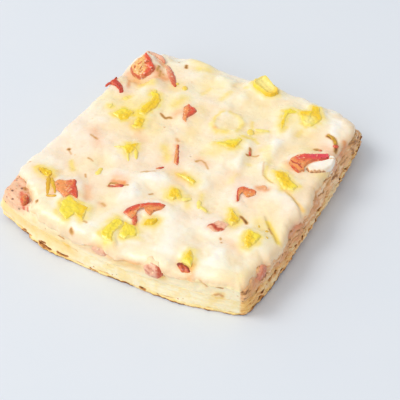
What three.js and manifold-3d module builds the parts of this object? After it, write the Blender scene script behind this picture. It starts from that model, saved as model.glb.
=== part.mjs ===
// A hand-cut square slice of sheet pizza: a baked dough base, a band of sauce with bits in it,
// a blanket of melted white cheese, and diced peppers, tomato and ham sunk into the cheese.
// Millimetres, +Z up. The origin is the middle of the slice's box, on the surface it lies on.
// The knife's front cut faces -Y and its right-hand cut faces +X.
import * as THREE from 'three';
import { mergeVertices } from 'three/addons/utils/BufferGeometryUtils.js';
import Module from 'manifold-3d';

// ---- Driving dimensions, mm ------------------------------------------------------------------

// Plan of the slice: its four corners, and how far each cut bows out in its middle.
const CORNERS = {
  frontRight: [56.4, -52.2],
  backRight: [54.1, 61],
  backLeft: [-56.8, 60],
  frontLeft: [-58.4, -56.4],
};
const BOWS = { right: 3, back: 0.2, left: -2.4, front: 7.6 };
const CORNER_EXPONENT = 32; // superellipse exponent: higher is a sharper corner
const CORNER_LIFTS = { frontRight: 0, backRight: 2.5, backLeft: 2.5, frontLeft: 2.8 };
const LIFT_EXPONENT = 6; // how tightly each lift stays at its corner

// Heights of the layers where they show at the cut.
const UNDERSIDE_LIP = 1.0;
const CRISP_SKIN = 1.9;
const CRUST_TOP = 9.0;
const SAUCE_TOP = 13.6;
const CHEESE_TOP = 17.6;
const LAYER_WAVE = 0.7;

const FLAT_SHARE = 0.6; // share of the half width over which the underside and the layers lie flat
const STEPS_PER_SIDE = 16;
const KNIFE_GAP = 0.3; // clearance round a bit that is sunk in a layer

// Soft mounds of the melted cheese: x, y, radius and height.
const MOUNDS = [
  [-38, 33, 6, 2.2], [-38, 21, 5, 2.0], [-50, 6, 9, 1.2], [-52, -12, 7, 1.0],
  [-52, -41, 7, 1.2], [-30, -57, 7, 1.6], [-11, -54, 6, 1.8], [-8, -32, 6, 1.9],
  [-11, -20, 7, 1.6], [13, -38, 7, 1.5], [20, -50, 9, 2.0], [43, -47, 11, 2.4],
  [40, -29, 5, 1.8], [51, -29, 5, 1.6], [45, -4, 9, 2.2], [51, 9, 7, 1.8],
  [32, 29, 7, 1.9], [44, 49, 8, 1.4], [21, 55, 7, 1.4], [-22, 30, 9, 1.3],
  [-2, 25, 10, 1.2], [14, 6, 9, 1.2], [-38, -10, 10, 0.9], [-4, 44, 8, 1.3],
];

const RED = 0xd9542a;
const DEEP_RED = 0xc23a24;
const BROWNED = 0xa8532c;
const YELLOW = 0xf3d41e;
const LEMON = 0xf0e04a;
const HAM = 0xdb9a84;
const WHITE = 0xfbf6ea;

// The diced bits, by kind. at is the bit's middle in plan, or for a bit bared by the knife its
// middle point on that cut. size is length, width and depth, turn is degrees from +X, and out
// is how far it stands above the cheese. taper narrows its far end and bend bows it sideways.
const BITS = {
  tomato: {
    corner: { color: RED, at: [-47.5, 41], size: [15, 12, 9], turn: 80, out: 4.2, taper: 0.2 },
    skin: { color: DEEP_RED, at: [-32.6, 39.8], size: [14, 3.2, 4], turn: -34, out: 1.5 },
  },
  red_pepper: {
    left_edge: { color: DEEP_RED, at: [-52.8, 24.4], size: [9.5, 3.6, 3.6], turn: -38, out: 1.6 },
    back: { color: RED, at: [-13.8, 23.1], size: [11, 6.6, 3.8], turn: -75, out: 1, taper: 0.5 },
    sliver: { color: RED, at: [-4.7, -2.3], size: [12, 2.4, 3], turn: -55, out: 0.6 },
    middle: { color: RED, at: [32.6, -7.1], size: [9, 8, 3.8], turn: -60, out: 1, taper: 0.6 },
    crescent: { color: DEEP_RED, at: [1.6, -36.2], size: [18, 5.6, 4], turn: 44, out: 1.4, bend: -2 },
    front: { color: RED, at: [-32.6, -40.6], size: [13, 10, 4], turn: -48, out: 1.4, taper: 0.25 },
    long: { color: DEEP_RED, at: [44.8, 24.2], size: [18, 5.6, 4.6], turn: 47, out: 1.8 },
    front_cut: { color: DEEP_RED, at: [-46.4, -57.1, 14], size: [6, 4.4, 3.6], turn: -4 },
  },
  ham: {
    right: { color: HAM, at: [30.8, -30.5], size: [9, 5, 3.6], turn: 22, out: 1 },
    left_cut: { color: HAM, at: [-4.8, -60, 11.3], size: [9, 4.4, 4], turn: 2 },
    middle_cut: { color: HAM, at: [19.4, -58.8, 11.9], size: [9, 4.4, 4.2], turn: 4 },
    right_cut: { color: BROWNED, at: [55.7, -39, 11.9], size: [8, 4.4, 4.4], turn: 86 },
    front_edge: { color: BROWNED, at: [29.6, -56.7, 16], size: [7, 4, 3.6], turn: 8 },
  },
  white_curd: {
    right: { color: WHITE, at: [51, 20.6], size: [12, 6, 5], turn: 54, out: 1.6, taper: 0.3 },
  },
  yellow_pepper: {
    back_edge: { color: YELLOW, at: [8, 54.2], size: [14, 9, 6], turn: -18, out: 2.6 },
    back_right: { color: YELLOW, at: [33.9, 50], size: [12, 9, 4], turn: 8, out: 1.4 },
    curl: { color: LEMON, at: [24, 39.8], size: [17, 2.6, 3.4], turn: -68, out: 0.9, bend: -2 },
    wedge: { color: YELLOW, at: [12.2, 15.1], size: [10, 6, 3.6], turn: 208, out: 1, taper: 0.5 },
    beside_curd: { color: YELLOW, at: [41, 6.8], size: [12, 5, 3.6], turn: -40, out: 1 },
    tall: { color: YELLOW, at: [-32, 20.6], size: [15, 5, 3.8], turn: 96, out: 0.9, bend: 1 },
    square: { color: YELLOW, at: [-38, 7.4], size: [9, 8, 3.6], turn: 10, out: 0.8 },
    beside_square: { color: YELLOW, at: [-28.6, 5.9], size: [8, 4.4, 3.4], turn: -62, out: 0.8 },
    triangle: { color: YELLOW, at: [-23.4, -8.7], size: [9, 8, 3.6], turn: 70, out: 0.9, taper: 0.5 },
    cube: { color: YELLOW, at: [6.8, -23.1], size: [7, 6.4, 4], turn: -10, out: 1.2 },
    flake: { color: LEMON, at: [8.4, -13.1], size: [9, 3.2, 3], turn: -12, out: 0.6 },
    beside_ham: { color: YELLOW, at: [35.4, -22.1], size: [8, 5.4, 3.8], turn: -62, out: 1.1, taper: 0.3 },
    far_right: { color: YELLOW, at: [46, -30.1], size: [9.4, 6, 4], turn: -84, out: 1.2, taper: 0.2 },
    small: { color: YELLOW, at: [8.2, -43.9], size: [5.6, 4.6, 3.6], turn: 20, out: 1 },
    front_left: { color: LEMON, at: [-24, -51.8], size: [13, 9.6, 4], turn: -14, out: 1.2 },
    front_mid: { color: LEMON, at: [-4.6, -53.5], size: [12, 5.4, 3.8], turn: 88, out: 1.1 },
    front_lobe: { color: YELLOW, at: [3.2, -51.1], size: [8.6, 6.6, 3.6], turn: 62, out: 1.1 },
    spoon: { color: YELLOW, at: [-45.2, -39.8], size: [9, 4.6, 3.4], turn: -12, out: 0.9 },
    front_right: { color: YELLOW, at: [29.6, -49.4], size: [6, 3.8, 3.6], turn: 92, out: 1 },
  },
};

// ---- Plan of the slice ---------------------------------------------------------------------

// The unit square (a, b from -1 to 1) mapped onto the slice's plan: its corners are blended
// evenly, and each side is pushed out by a parabola that is highest at the side's middle.
function planPoint(a, b) {
  const share = {
    frontRight: (1 + a) * (1 - b) / 4,
    backRight: (1 + a) * (1 + b) / 4,
    backLeft: (1 - a) * (1 + b) / 4,
    frontLeft: (1 - a) * (1 - b) / 4,
  };
  let x = 0;
  let y = 0;
  let lift = 0;
  for (const corner of Object.keys(CORNERS)) {
    x += share[corner] * CORNERS[corner][0];
    y += share[corner] * CORNERS[corner][1];
    lift += CORNER_LIFTS[corner] * share[corner] ** LIFT_EXPONENT;
  }
  x += (BOWS.right * (1 + a) - BOWS.left * (1 - a)) / 2 * (1 - b * b);
  y += (BOWS.back * (1 + b) - BOWS.front * (1 - b)) / 2 * (1 - a * a);
  return { x, y, lift };
}

// A closed line of points round the slice at a share of its half width: even steps along a
// square, each drawn in towards the middle until it lies on the superellipse.
function planRing(share) {
  const points = [];
  const steps = 4 * STEPS_PER_SIDE;
  for (let i = 0; i < steps; i += 1) {
    const side = Math.floor(i / STEPS_PER_SIDE);
    const along = 2 * (i % STEPS_PER_SIDE) / STEPS_PER_SIDE - 1;
    const square = [[1, along], [-along, 1], [-1, -along], [along, -1]][side];
    const radius = (Math.abs(square[0]) ** CORNER_EXPONENT + Math.abs(square[1]) ** CORNER_EXPONENT)
      ** (-1 / CORNER_EXPONENT);
    const point = planPoint(square[0] * radius * share, square[1] * radius * share);
    points.push({ ...point, turn: i / steps * 2 * Math.PI, share });
  }
  return points;
}

// ---- Layers ----------------------------------------------------------------------------------

// Rings from the middle of the bottom, out, up the side and back to the middle of the top.
// Each ring has a share of the half width and a height, a number or a function of the point.
// A quad's diagonal always starts on its outer ring, so two layers split a shared face alike.
function ringSolid(rings) {
  const steps = 4 * STEPS_PER_SIDE;
  const positions = [];
  const heightOf = (ring, point) => (typeof ring.z === 'function' ? ring.z(point) : ring.z);
  const middle = planPoint(0, 0);
  for (const ring of rings) {
    for (const point of planRing(ring.share)) {
      const lift = ring.share > FLAT_SHARE ? point.lift : 0;
      positions.push(point.x, point.y, heightOf(ring, point) + lift);
    }
  }
  const bottomMiddle = positions.length / 3;
  positions.push(middle.x, middle.y, heightOf(rings[0], { ...middle, turn: 0 }));
  const topMiddle = bottomMiddle + 1;
  positions.push(middle.x, middle.y, heightOf(rings[rings.length - 1], { ...middle, turn: 0 }));
  const faces = [];
  for (let i = 0; i < steps; i += 1) {
    const next = (i + 1) % steps;
    faces.push(bottomMiddle, next, i);
    for (let k = 0; k + 1 < rings.length; k += 1) {
      const low = k * steps;
      const high = low + steps;
      if (rings[k].share > rings[k + 1].share) {
        faces.push(low + i, low + next, high + next, low + i, high + next, high + i);
      } else {
        faces.push(low + i, low + next, high + i, low + next, high + next, high + i);
      }
    }
    const last = (rings.length - 1) * steps;
    faces.push(topMiddle, last + i, last + next);
  }
  const geometry = new THREE.BufferGeometry();
  geometry.setAttribute('position', new THREE.Float32BufferAttribute(positions, 3));
  geometry.setIndex(faces);
  return geometry;
}

// Slow waves along the cut, so that no layer meets the next on a ruled line.
function wave(turn, phase) {
  return LAYER_WAVE * (0.6 * Math.sin(9 * turn + phase) + 0.4 * Math.sin(17 * turn + 2 * phase));
}

// The faces that two layers share, from the cut inwards.
const crustToSauce = [
  { share: 0.992, z: (point) => CRUST_TOP + wave(point.turn, 0.4) },
  { share: 0.94, z: CRUST_TOP },
  { share: FLAT_SHARE, z: CRUST_TOP },
];
const sauceToCheese = [
  { share: 0.985, z: (point) => SAUCE_TOP + wave(point.turn, 2.1) },
  { share: 0.93, z: SAUCE_TOP },
  { share: FLAT_SHARE, z: SAUCE_TOP },
];

function crustGeometry() {
  return ringSolid([
    { share: FLAT_SHARE, z: 0 },
    { share: 0.9, z: 0 },
    { share: 0.99, z: 0.25 },
    { share: 1, z: UNDERSIDE_LIP },
    { share: 0.985, z: CRISP_SKIN },
    { share: 1, z: CRISP_SKIN + 1.6 },
    { share: 1, z: (point) => 0.75 * CRUST_TOP + 0.5 * wave(point.turn, 1.2) },
    ...crustToSauce,
  ]);
}

function sauceGeometry() {
  return ringSolid([
    ...[...crustToSauce].reverse(),
    { share: 0.998, z: (point) => (CRUST_TOP + SAUCE_TOP) / 2 + wave(point.turn, 1.3) },
    ...sauceToCheese,
  ]);
}

// Height of the cheese: a shallow dome with the soft mounds added to it.
function cheeseHeight({ x, y }) {
  const halfWidth = CORNERS.frontRight[0];
  const dome = 0.6 * (1 - (x * x + y * y) / (2 * halfWidth * halfWidth));
  let mounds = 0;
  for (const [mx, my, radius, height] of MOUNDS) {
    mounds += height * Math.exp(-((x - mx) ** 2 + (y - my) ** 2) / (radius * radius));
  }
  return CHEESE_TOP + dome + mounds;
}

function cheeseGeometry() {
  const topShares = [0.93, 0.86, 0.77, 0.68, 0.59, 0.5, 0.41, 0.32, 0.23, 0.12];
  const edgeHeight = (share) => (point) => SAUCE_TOP + share * (cheeseHeight(point) - SAUCE_TOP);
  return ringSolid([
    ...[...sauceToCheese].reverse(),
    { share: 0.994, z: (point) => edgeHeight(0.4)(point) + 0.5 * wave(point.turn, 2.1) },
    { share: 0.985, z: edgeHeight(0.72) },
    { share: 0.965, z: edgeHeight(0.92) },
    ...topShares.map((share) => ({ share, z: cheeseHeight })),
  ]);
}

// ---- Bits ------------------------------------------------------------------------------------

// A diced bit: a box whose corners are drawn in, tapered and bowed along its length, with a
// small uneven push on every point that depends on where the point is.
function bitGeometry({ size, taper = 0, bend = 0 }, margin, seed) {
  const geometry = new THREE.BoxGeometry(2, 2, 2, 3, 2, 1);
  const position = geometry.attributes.position;
  const half = size.map((side) => side / 2 + margin);
  for (let i = 0; i < position.count; i += 1) {
    const u = position.getX(i);
    const v = position.getY(i);
    const w = position.getZ(i);
    const rounding = 1 - 0.1 * (u * u * v * v + v * v * w * w + w * w * u * u) / 2;
    const uneven = (axis) => 0.06 * Math.sin(seed * 7.3 + axis * 2.1 + 4.1 * u + 5.3 * v + 3.7 * w);
    const narrowing = 1 - taper * (u + 1) / 2;
    position.setXYZ(
      i,
      half[0] * (u * rounding + uneven(0)),
      half[1] * (v * rounding * narrowing + uneven(1)) + bend * (0.5 - u * u),
      half[2] * (w * rounding + uneven(2)),
    );
  }
  geometry.deleteAttribute('normal');
  geometry.deleteAttribute('uv');
  return mergeVertices(geometry);
}

function placeBit(mesh, bit) {
  const [x, y] = bit.at;
  const sunkMiddle = cheeseHeight({ x, y }) + (bit.out ?? 0) - bit.size[2] / 2;
  mesh.position.set(x, y, bit.at[2] ?? sunkMiddle);
  mesh.rotation.set(0, 0, THREE.MathUtils.degToRad(bit.turn));
  mesh.updateMatrixWorld(true);
}

function makeBit(bit, seed) {
  const mesh = namedMesh(bit.name, bitGeometry(bit, 0, seed), bit.color, 0.35);
  placeBit(mesh, bit);
  return mesh;
}

// ---- Cutting the pockets ---------------------------------------------------------------------

const wasm = await Module();
wasm.setup();

function solidOf(geometry) {
  return new wasm.Manifold(new wasm.Mesh({
    numProp: 3,
    vertProperties: new Float32Array(geometry.attributes.position.array),
    triVerts: new Uint32Array(geometry.index.array),
  }));
}

function geometryOf(solid) {
  const mesh = solid.getMesh();
  const geometry = new THREE.BufferGeometry();
  geometry.setAttribute('position', new THREE.Float32BufferAttribute(mesh.vertProperties, 3));
  geometry.setIndex(new THREE.Uint32BufferAttribute(mesh.triVerts, 1));
  return geometry;
}

// A layer with a pocket for every bit, each a little larger than its bit. Crumbs that the
// pockets cut off the layer are dropped: only its largest body stays.
function withPockets(layerGeometry, bits) {
  let solid = solidOf(layerGeometry);
  bits.forEach((bit, index) => {
    const pocket = new THREE.Mesh(bitGeometry(bit, KNIFE_GAP, index + 1));
    placeBit(pocket, bit);
    pocket.geometry.applyMatrix4(pocket.matrixWorld);
    solid = solid.subtract(solidOf(pocket.geometry));
  });
  const bodies = solid.decompose().sort((first, second) => second.volume() - first.volume());
  return geometryOf(bodies[0]);
}

// ---- The slice -------------------------------------------------------------------------------

function namedMesh(name, geometry, color, roughness) {
  const material = new THREE.MeshStandardMaterial({ color, roughness, metalness: 0 });
  const mesh = new THREE.Mesh(geometry, material);
  mesh.name = name;
  return mesh;
}

const allBits = Object.entries(BITS).flatMap(([kind, bits]) => (
  Object.entries(bits).map(([place, bit]) => ({ name: `${kind}_${place}`, ...bit }))
));
const slice = new THREE.Group();
slice.add(namedMesh('crust', crustGeometry(), 0xf3dca6, 0.8));
slice.add(namedMesh('sauce', withPockets(sauceGeometry(), allBits), 0xe9b48c, 0.5));
slice.add(namedMesh('cheese', withPockets(cheeseGeometry(), allBits), 0xfff6e6, 0.4));

const toppings = new THREE.Group();
allBits.forEach((bit, index) => toppings.add(makeBit(bit, index + 1)));
slice.add(toppings);

export default slice;
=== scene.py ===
# A hand-cut square of sheet pizza: flaky baked dough, a band of sauce, a blanket of melted white
# cheese and diced peppers, tomato and ham sunk into it. Shapes are worked out in millimetres in
# the slice's own frame (front cut towards -Y, right-hand cut towards +X) and written in metres.
import math
import bpy
import numpy as np
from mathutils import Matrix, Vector


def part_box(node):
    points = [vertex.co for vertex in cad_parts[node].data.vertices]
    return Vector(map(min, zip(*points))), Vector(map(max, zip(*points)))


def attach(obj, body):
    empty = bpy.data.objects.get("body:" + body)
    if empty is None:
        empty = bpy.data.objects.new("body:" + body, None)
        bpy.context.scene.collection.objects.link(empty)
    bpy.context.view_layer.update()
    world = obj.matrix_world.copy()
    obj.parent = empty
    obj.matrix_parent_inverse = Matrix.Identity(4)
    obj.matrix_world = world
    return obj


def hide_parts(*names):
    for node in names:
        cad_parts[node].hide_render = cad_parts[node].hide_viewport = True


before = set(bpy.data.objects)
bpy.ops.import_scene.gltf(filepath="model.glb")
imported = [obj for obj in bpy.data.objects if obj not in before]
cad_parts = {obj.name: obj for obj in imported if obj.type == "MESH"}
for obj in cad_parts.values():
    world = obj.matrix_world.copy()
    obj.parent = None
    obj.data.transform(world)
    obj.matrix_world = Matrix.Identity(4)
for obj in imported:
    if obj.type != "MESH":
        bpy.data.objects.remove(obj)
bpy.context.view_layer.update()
mm = 0.001


def nodeBox(node):  # lowest and highest corner of a CAD node, in millimetres
    low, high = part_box(node)
    return np.array(low) / mm, np.array(high) / mm


def easeStep(low, high, value):  # 0 below low, 1 above high, 3t^2 - 2t^3 between them
    t = np.clip((value - low) / (high - low), 0, 1)
    return t * t * (3 - 2 * t)


def mixed(first, second, share):
    return first + (second - first) * share


def latticeNoise(points, seed):
    # a random direction at every whole-number point of space; the eight nearest each give
    # direction . offset, blended with the weight 6t^5 - 15t^4 + 10t^3; about -1 to 1
    tableSize = 4096
    table = np.random.default_rng(seed).normal(size=(tableSize, 3))
    table *= 2 / np.linalg.norm(table, axis=1, keepdims=True)
    points = points + 0.37 * seed
    cell = np.floor(points).astype(np.int64)
    t = points - cell
    ease = t ** 3 * (t * (t * 6 - 15) + 10)
    primes = np.array([73856093, 19349663, 83492791])
    total = 0
    for corner in range(8):
        step = np.array([corner & 1, corner >> 1 & 1, corner >> 2 & 1])
        place = (cell + step) * primes
        key = (place[..., 0] ^ place[..., 1] ^ place[..., 2]) & (tableSize - 1)
        weight = np.where(step == 1, ease, 1 - ease).prod(-1)
        total = total + weight * (table[key] * (t - step)).sum(-1)
    return total


def layeredNoise(points, size, seed, layers=3):
    # lattice noise at a size in mm, plus finer layers at half the size and half the strength
    total = 0
    for layer in range(layers):
        total = total + latticeNoise(points / size * 2 ** layer, seed + layer) / 2 ** layer
    return total


def flat(x, y, z=0.0):
    return np.stack(np.broadcast_arrays(x, y, z), -1).astype(float)


def softWeights(reach):  # cosine-shaped weights of a value and its neighbours, adding up to 1
    weights = np.hanning(2 * reach + 3)[1:-1]
    return weights / weights.sum()


def roundLine(points, closed, count, softness):
    # a line of points taken at even steps along the corner points, then averaged with its
    # neighbours inside the softness so that its corners are rounded
    points = np.asarray(points, float)
    if closed:
        points = np.vstack([points, points[:1]])
    lengths = np.r_[0, np.cumsum(np.linalg.norm(np.diff(points, axis=0), axis=1))]
    places = np.linspace(0, lengths[-1], count, endpoint=not closed)
    line = np.stack([np.interp(places, lengths, column) for column in points.T], -1)
    reach = int(round(softness / (lengths[-1] / count)))
    ring = np.pad(line, ((reach, reach), (0, 0)), mode="wrap" if closed else "edge")
    return np.stack([np.convolve(column, softWeights(reach), "valid") for column in ring.T], -1)


def signedDistance(points, outline):
    # distance in mm from each point to a closed outline, below zero inside it
    start = outline[None]
    edge = np.roll(outline, -1, axis=0)[None] - start
    away = points[:, None] - start
    along = np.clip((away * edge).sum(-1) / (edge ** 2).sum(-1), 0, 1)
    distance = np.linalg.norm(away - along[..., None] * edge, axis=-1).min(1)
    end = start + edge
    crosses = (start[..., 1] > points[:, None, 1]) != (end[..., 1] > points[:, None, 1])
    rise = np.where(edge[..., 1] == 0, 1, edge[..., 1])
    crossingX = start[..., 0] + (points[:, None, 1] - start[..., 1]) * edge[..., 0] / rise
    inside = (crosses & (points[:, None, 0] < crossingX)).sum(1) % 2 == 1
    return np.where(inside, -distance, distance)


def segmentGap(x, y, start, end):
    # for each point the nearest place along a straight segment, 0 to 1, and the distance to it
    (x0, y0), (x1, y1) = start, end
    dx, dy = x1 - x0, y1 - y0
    along = np.clip(((x - x0) * dx + (y - y0) * dy) / max(dx * dx + dy * dy, 1e-6), 0, 1)
    return along, np.hypot(x - x0 - along * dx, y - y0 - along * dy)


def lineGaps(x, y, corners):  # distance from each point to a line through the corners
    gap = np.full(np.broadcast(x, y).shape, np.inf)
    for start, end in zip(corners, corners[1:] or corners):
        gap = np.minimum(gap, segmentGap(x, y, start, end)[1])
    return gap


def bell(x, y, middleX, middleY, radius):  # exp(-(distance / radius)^2) round a middle
    return np.exp(-((x - middleX) ** 2 + (y - middleY) ** 2) / radius ** 2)


def softLines(x, y, lines, join=np.maximum):
    # lines are (radius, strength, corners); each gives strength * exp(-(distance / radius)^2),
    # and the join takes the strongest or adds them
    total = np.zeros(np.broadcast(x, y).shape)
    for radius, strength, corners in lines:
        total = join(total, strength * np.exp(-(lineGaps(x, y, corners) / radius) ** 2))
    return total


def makePiece(name, points, faces, material, replaces, marks):
    # points in mm; marks are named values from 0 to 1 at every point, read by the materials
    mesh = bpy.data.meshes.new(name)
    mesh.from_pydata((points * mm).tolist(), [], faces)
    mesh.polygons.foreach_set("use_smooth", np.ones(len(mesh.polygons), bool))
    for markName, values in marks.items():
        layer = mesh.attributes.new(markName, "FLOAT", "POINT")
        layer.data.foreach_set("value", np.clip(values, 0, 1).astype(np.float32))
    mesh.materials.append(material)
    mesh.validate()
    piece = bpy.data.objects.new(name, mesh)
    bpy.context.scene.collection.objects.link(piece)
    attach(piece, "root")
    if replaces:
        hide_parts(*replaces)


def gridFaces(rows, columns, closed):
    # quads between neighbouring rows; closed joins the last column to the first
    row, column = np.meshgrid(np.arange(rows - 1), np.arange(columns if closed else columns - 1),
                              indexing="ij")
    beside = (column + 1) % columns
    quads = [row * columns + column, row * columns + beside,
             (row + 1) * columns + beside, (row + 1) * columns + column]
    return np.stack(quads, -1).reshape(-1, 4).tolist()


def closedRings(rings):
    # rings is rows x columns x 3, each row a closed line; both ends are capped with one face
    rows, columns = rings.shape[:2]
    faces = gridFaces(rows, columns, True)
    faces.append(list(range(columns))[::-1])
    faces.append(list(range((rows - 1) * columns, rows * columns)))
    return rings.reshape(-1, 3), faces


def joinShapes(shapes):
    # several (points, faces, marks) made one
    points, faces, marks, start = [], [], {}, 0
    for shapePoints, shapeFaces, shapeMarks in shapes:
        points.append(shapePoints)
        faces.extend([[start + corner for corner in face] for face in shapeFaces])
        for name, values in shapeMarks.items():
            marks.setdefault(name, []).append(np.broadcast_to(values, len(shapePoints)))
        start += len(shapePoints)
    return np.vstack(points), faces, {name: np.concatenate(parts) for name, parts in marks.items()}


slicePlan = {
    "corners": {"frontRight": (56.4, -52.2), "backRight": (54.1, 61.0),
                "backLeft": (-56.8, 60.0), "frontLeft": (-58.4, -56.4)},
    "cornerLifts": {"frontRight": 0.0, "backRight": 0.8, "backLeft": 0.8, "frontLeft": 2.4},
    "bows": {"right": 3.0, "back": 0.2, "left": -2.4, "front": 7.6},
    "cornerExponent": 48,  # higher is a sharper corner
    "liftExponent": 6,
    "halfWidth": 57.0,
    "middleInset": 56.9,  # inset of the smallest ring, close round the middle
    "frontLine": (-54.3, 57.4),  # y and half length of the front cut without its bow
}


def planPoint(a, b):
    # the unit square on the slice's plan: its corners are blended evenly, each corner's lift
    # grows with the 6th power of its share, and each side is pushed out by a parabola
    shares = {
        "frontRight": (1 + a) * (1 - b) / 4,
        "backRight": (1 + a) * (1 + b) / 4,
        "backLeft": (1 - a) * (1 + b) / 4,
        "frontLeft": (1 - a) * (1 - b) / 4,
    }
    corners, bows = slicePlan["corners"], slicePlan["bows"]
    x = sum(share * corners[corner][0] for corner, share in shares.items())
    y = sum(share * corners[corner][1] for corner, share in shares.items())
    lift = sum(slicePlan["cornerLifts"][corner] * share ** slicePlan["liftExponent"]
               for corner, share in shares.items())
    x = x + (bows["right"] * (1 + a) - bows["left"] * (1 - a)) / 2 * (1 - b * b)
    y = y + (bows["back"] * (1 + b) - bows["front"] * (1 - b)) / 2 * (1 - a * a)
    return x, y, lift


def roundedSquare(a, b):  # a, b divided by (|a|^n + |b|^n)^(1/n): the edge of a superellipse
    power = slicePlan["cornerExponent"]
    radius = (np.abs(a) ** power + np.abs(b) ** power) ** (-1 / power)
    return a * radius, b * radius


def cutWalk(columns):
    # even steps once round the unit square, counter-clockwise from the front right corner
    turn = np.arange(columns) / columns * 4
    side = np.floor(turn).astype(int)
    along = 2 * (turn - side) - 1
    a = np.choose(side, [np.ones(columns), -along, -np.ones(columns), along])
    b = np.choose(side, [along, np.ones(columns), -along, -np.ones(columns)])
    return roundedSquare(a, b)


def cutSurface(columns, insets, heights):
    # a profile carried round the cut: insets and heights are rows x columns in mm; an inset
    # draws the point in towards the middle, below zero pushes it out
    a, b = cutWalk(columns)
    share = 1 - insets / slicePlan["halfWidth"]
    x, y, lift = planPoint(a * share, b * share)
    liftShare = easeStep(0.55, 0.75, share)
    return np.stack([x, y, heights + lift * liftShare], -1)


cheeseForm = {
    "top": nodeBox("cheese")[0][2] + 4.4,
    "dome": 0.6,
    # soft mounds and ridges of melted cheese: radius, height, line
    "mounds": [
        (5.5, 2.0, [(-36, 31)]), (4, 1.4, [(-37.5, 24), (-37, 15)]), (9, 1.2, [(-50, 6)]),
        (7, 1.0, [(-52, -12)]), (6, 1.3, [(-52, -41), (-46, -46)]), (7, 1.5, [(-30, -57)]),
        (6, 1.0, [(-19, -58)]), (5, 1.4, [(-10, -59), (-9, -47), (-8, -36)]),
        (5.5, 1.7, [(-6, -31), (-11, -23), (-1, -19)]), (7, 1.3, [(13, -38)]),
        (9, 1.8, [(20, -50)]), (11, 2.2, [(43, -47)]), (5, 1.3, [(40, -29)]), (5, 1.2, [(51, -31)]),
        (9, 1.6, [(45, -6)]), (7, 1.4, [(51, 9)]), (3.2, 1.1, [(30, 10), (29, 28), (30, 40)]),
        (8, 1.4, [(44, 49)]), (7, 1.2, [(21, 55)]), (9, 0.9, [(-22, 30)]), (10, 0.8, [(-2, 25)]),
        (9, 0.9, [(14, 6)]), (2.4, 1.1, [(19, 17), (21, 6), (24, -4)]), (10, 0.8, [(-38, -10)]),
        (8, 1.0, [(-4, 44)]), (4, 0.8, [(-20, 50), (-8, 52)]), (3.5, 0.8, [(-16, -3), (-14, 6)]),
        (4, 0.9, [(6, -8), (14, -14)]),
        (1.3, 0.5, [(-1.4, 22), (-1.6, 27), (1.4, 31), (6, 32), (10.2, 29), (10.8, 24), (8, 20),
                    (2.6, 18.8), (-1.4, 22)]),
        (3.5, -1.6, [(-44, 58), (-39, 57)]), (4.5, 1.4, [(-33, 57), (-25, 57)]),
        (2.4, -0.7, [(-20, 49), (-17, 50)]), (2.4, 0.8, [(-13, 52)]), (2, -0.7, [(-5, 50)]),
        (2.2, 0.8, [(1, 53)]), (2, -0.6, [(9, 50)]), (2.4, 0.9, [(-52, 18)]),
        (2.4, 0.7, [(-45, 38)]), (2, 0.9, [(-38.5, 34)]), (3.5, 0.8, [(-44, -3), (-38, 2)]),
        (4, 0.8, [(24, -30), (22, -38)]), (3.5, 0.7, [(-25, -18), (-19, -24)]),
    ],
    # folds: the cheese to the left of the line stands higher and breaks off at a crease
    "folds": [
        (1.0, 6.0, [(31, 9), (32.5, 5.4), (36, 2.4), (42, 1.4), (49, -1.6), (55, -5.6), (59, -11),
                    (64, -19)]),
        (0.7, 4.0, [(44, -15.5), (46.5, -18), (50, -21.2), (53.5, -24), (57, -28.5)]),
    ],
    "lumpSize": 9.0, "lumpHeight": 0.6,
    "dimpleSize": 5.0, "dimpleHeight": 0.3,
    "grainSize": 1.5, "grainHeight": 0.05,
    "backFall": 1.6,  # how far the top sinks towards the back cut
    "lipRadius": 3.6,
    "gridCells": 292,
    "topShare": 0.86,  # the grid's inner share that is the top
    # shares of the outer band where the rounded lip ends and where the hanging wall ends
    "rollEnd": 0.46, "wallEnd": 0.88,
    "underShare": 0.93, "underHeight": 13.2,  # the hidden underside
}


def foldHeight(x, y, folds):
    # on the left of each line the height falls off as exp(-(distance / reach)^2), on its right
    # there is only a narrow groove; both fade out as sin(pi t)^0.6 towards the ends of the line
    total = np.zeros(np.broadcast(x, y).shape)
    for rise, reach, corners in folds:
        path = roundLine(corners, False, 30, 3)
        side, place = np.zeros(total.shape), np.zeros(total.shape)
        nearest = np.full(total.shape, np.inf)
        for step, (start, end) in enumerate(zip(path, path[1:])):
            along, gap = segmentGap(x, y, start, end)
            dx, dy = end - start
            closer = gap < nearest
            offset = ((x - start[0]) * dy - (y - start[1]) * dx) / math.hypot(dx, dy)
            side = np.where(closer, offset, side)
            place = np.where(closer, (step + along) / (len(path) - 1), place)
            nearest = np.minimum(nearest, gap)
        raised = easeStep(-0.4, 0.8, side) * np.exp(-(nearest / reach) ** 2)
        groove = easeStep(0.3, -0.3, side) * np.exp(-(nearest / 1.2) ** 2)
        total = total + rise * np.sin(np.pi * place) ** 0.6 * (raised - 0.35 * groove)
    return total


def openCheese(x, y):
    # height of the cheese with nothing in it: a shallow dome, mounds as bell curves, folds, and
    # lumps of lattice noise, the smaller ones rounded by the softened absolute value
    form = cheeseForm
    half = slicePlan["halfWidth"]
    height = form["top"] + form["dome"] * (1 - (x * x + y * y) / (2 * half * half))
    height = height + softLines(x, y, form["mounds"], np.add) + foldHeight(x, y, form["folds"])
    height = height - form["backFall"] * easeStep(46, 60, y)
    places = flat(x, y)
    bend = flat(layeredNoise(places, 14, 40, 2), layeredNoise(places, 14, 50, 2)) * 1.6
    lumps = latticeNoise((places + bend) / form["lumpSize"], 11)
    dimples = np.sqrt(latticeNoise((places + bend) / form["dimpleSize"], 23) ** 2 + 0.05)
    grain = layeredNoise(places, form["grainSize"], 31, 2)
    return (height + form["lumpHeight"] * lumps + form["dimpleHeight"] * (dimples - 0.35)
            + form["grainHeight"] * grain)


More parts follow.
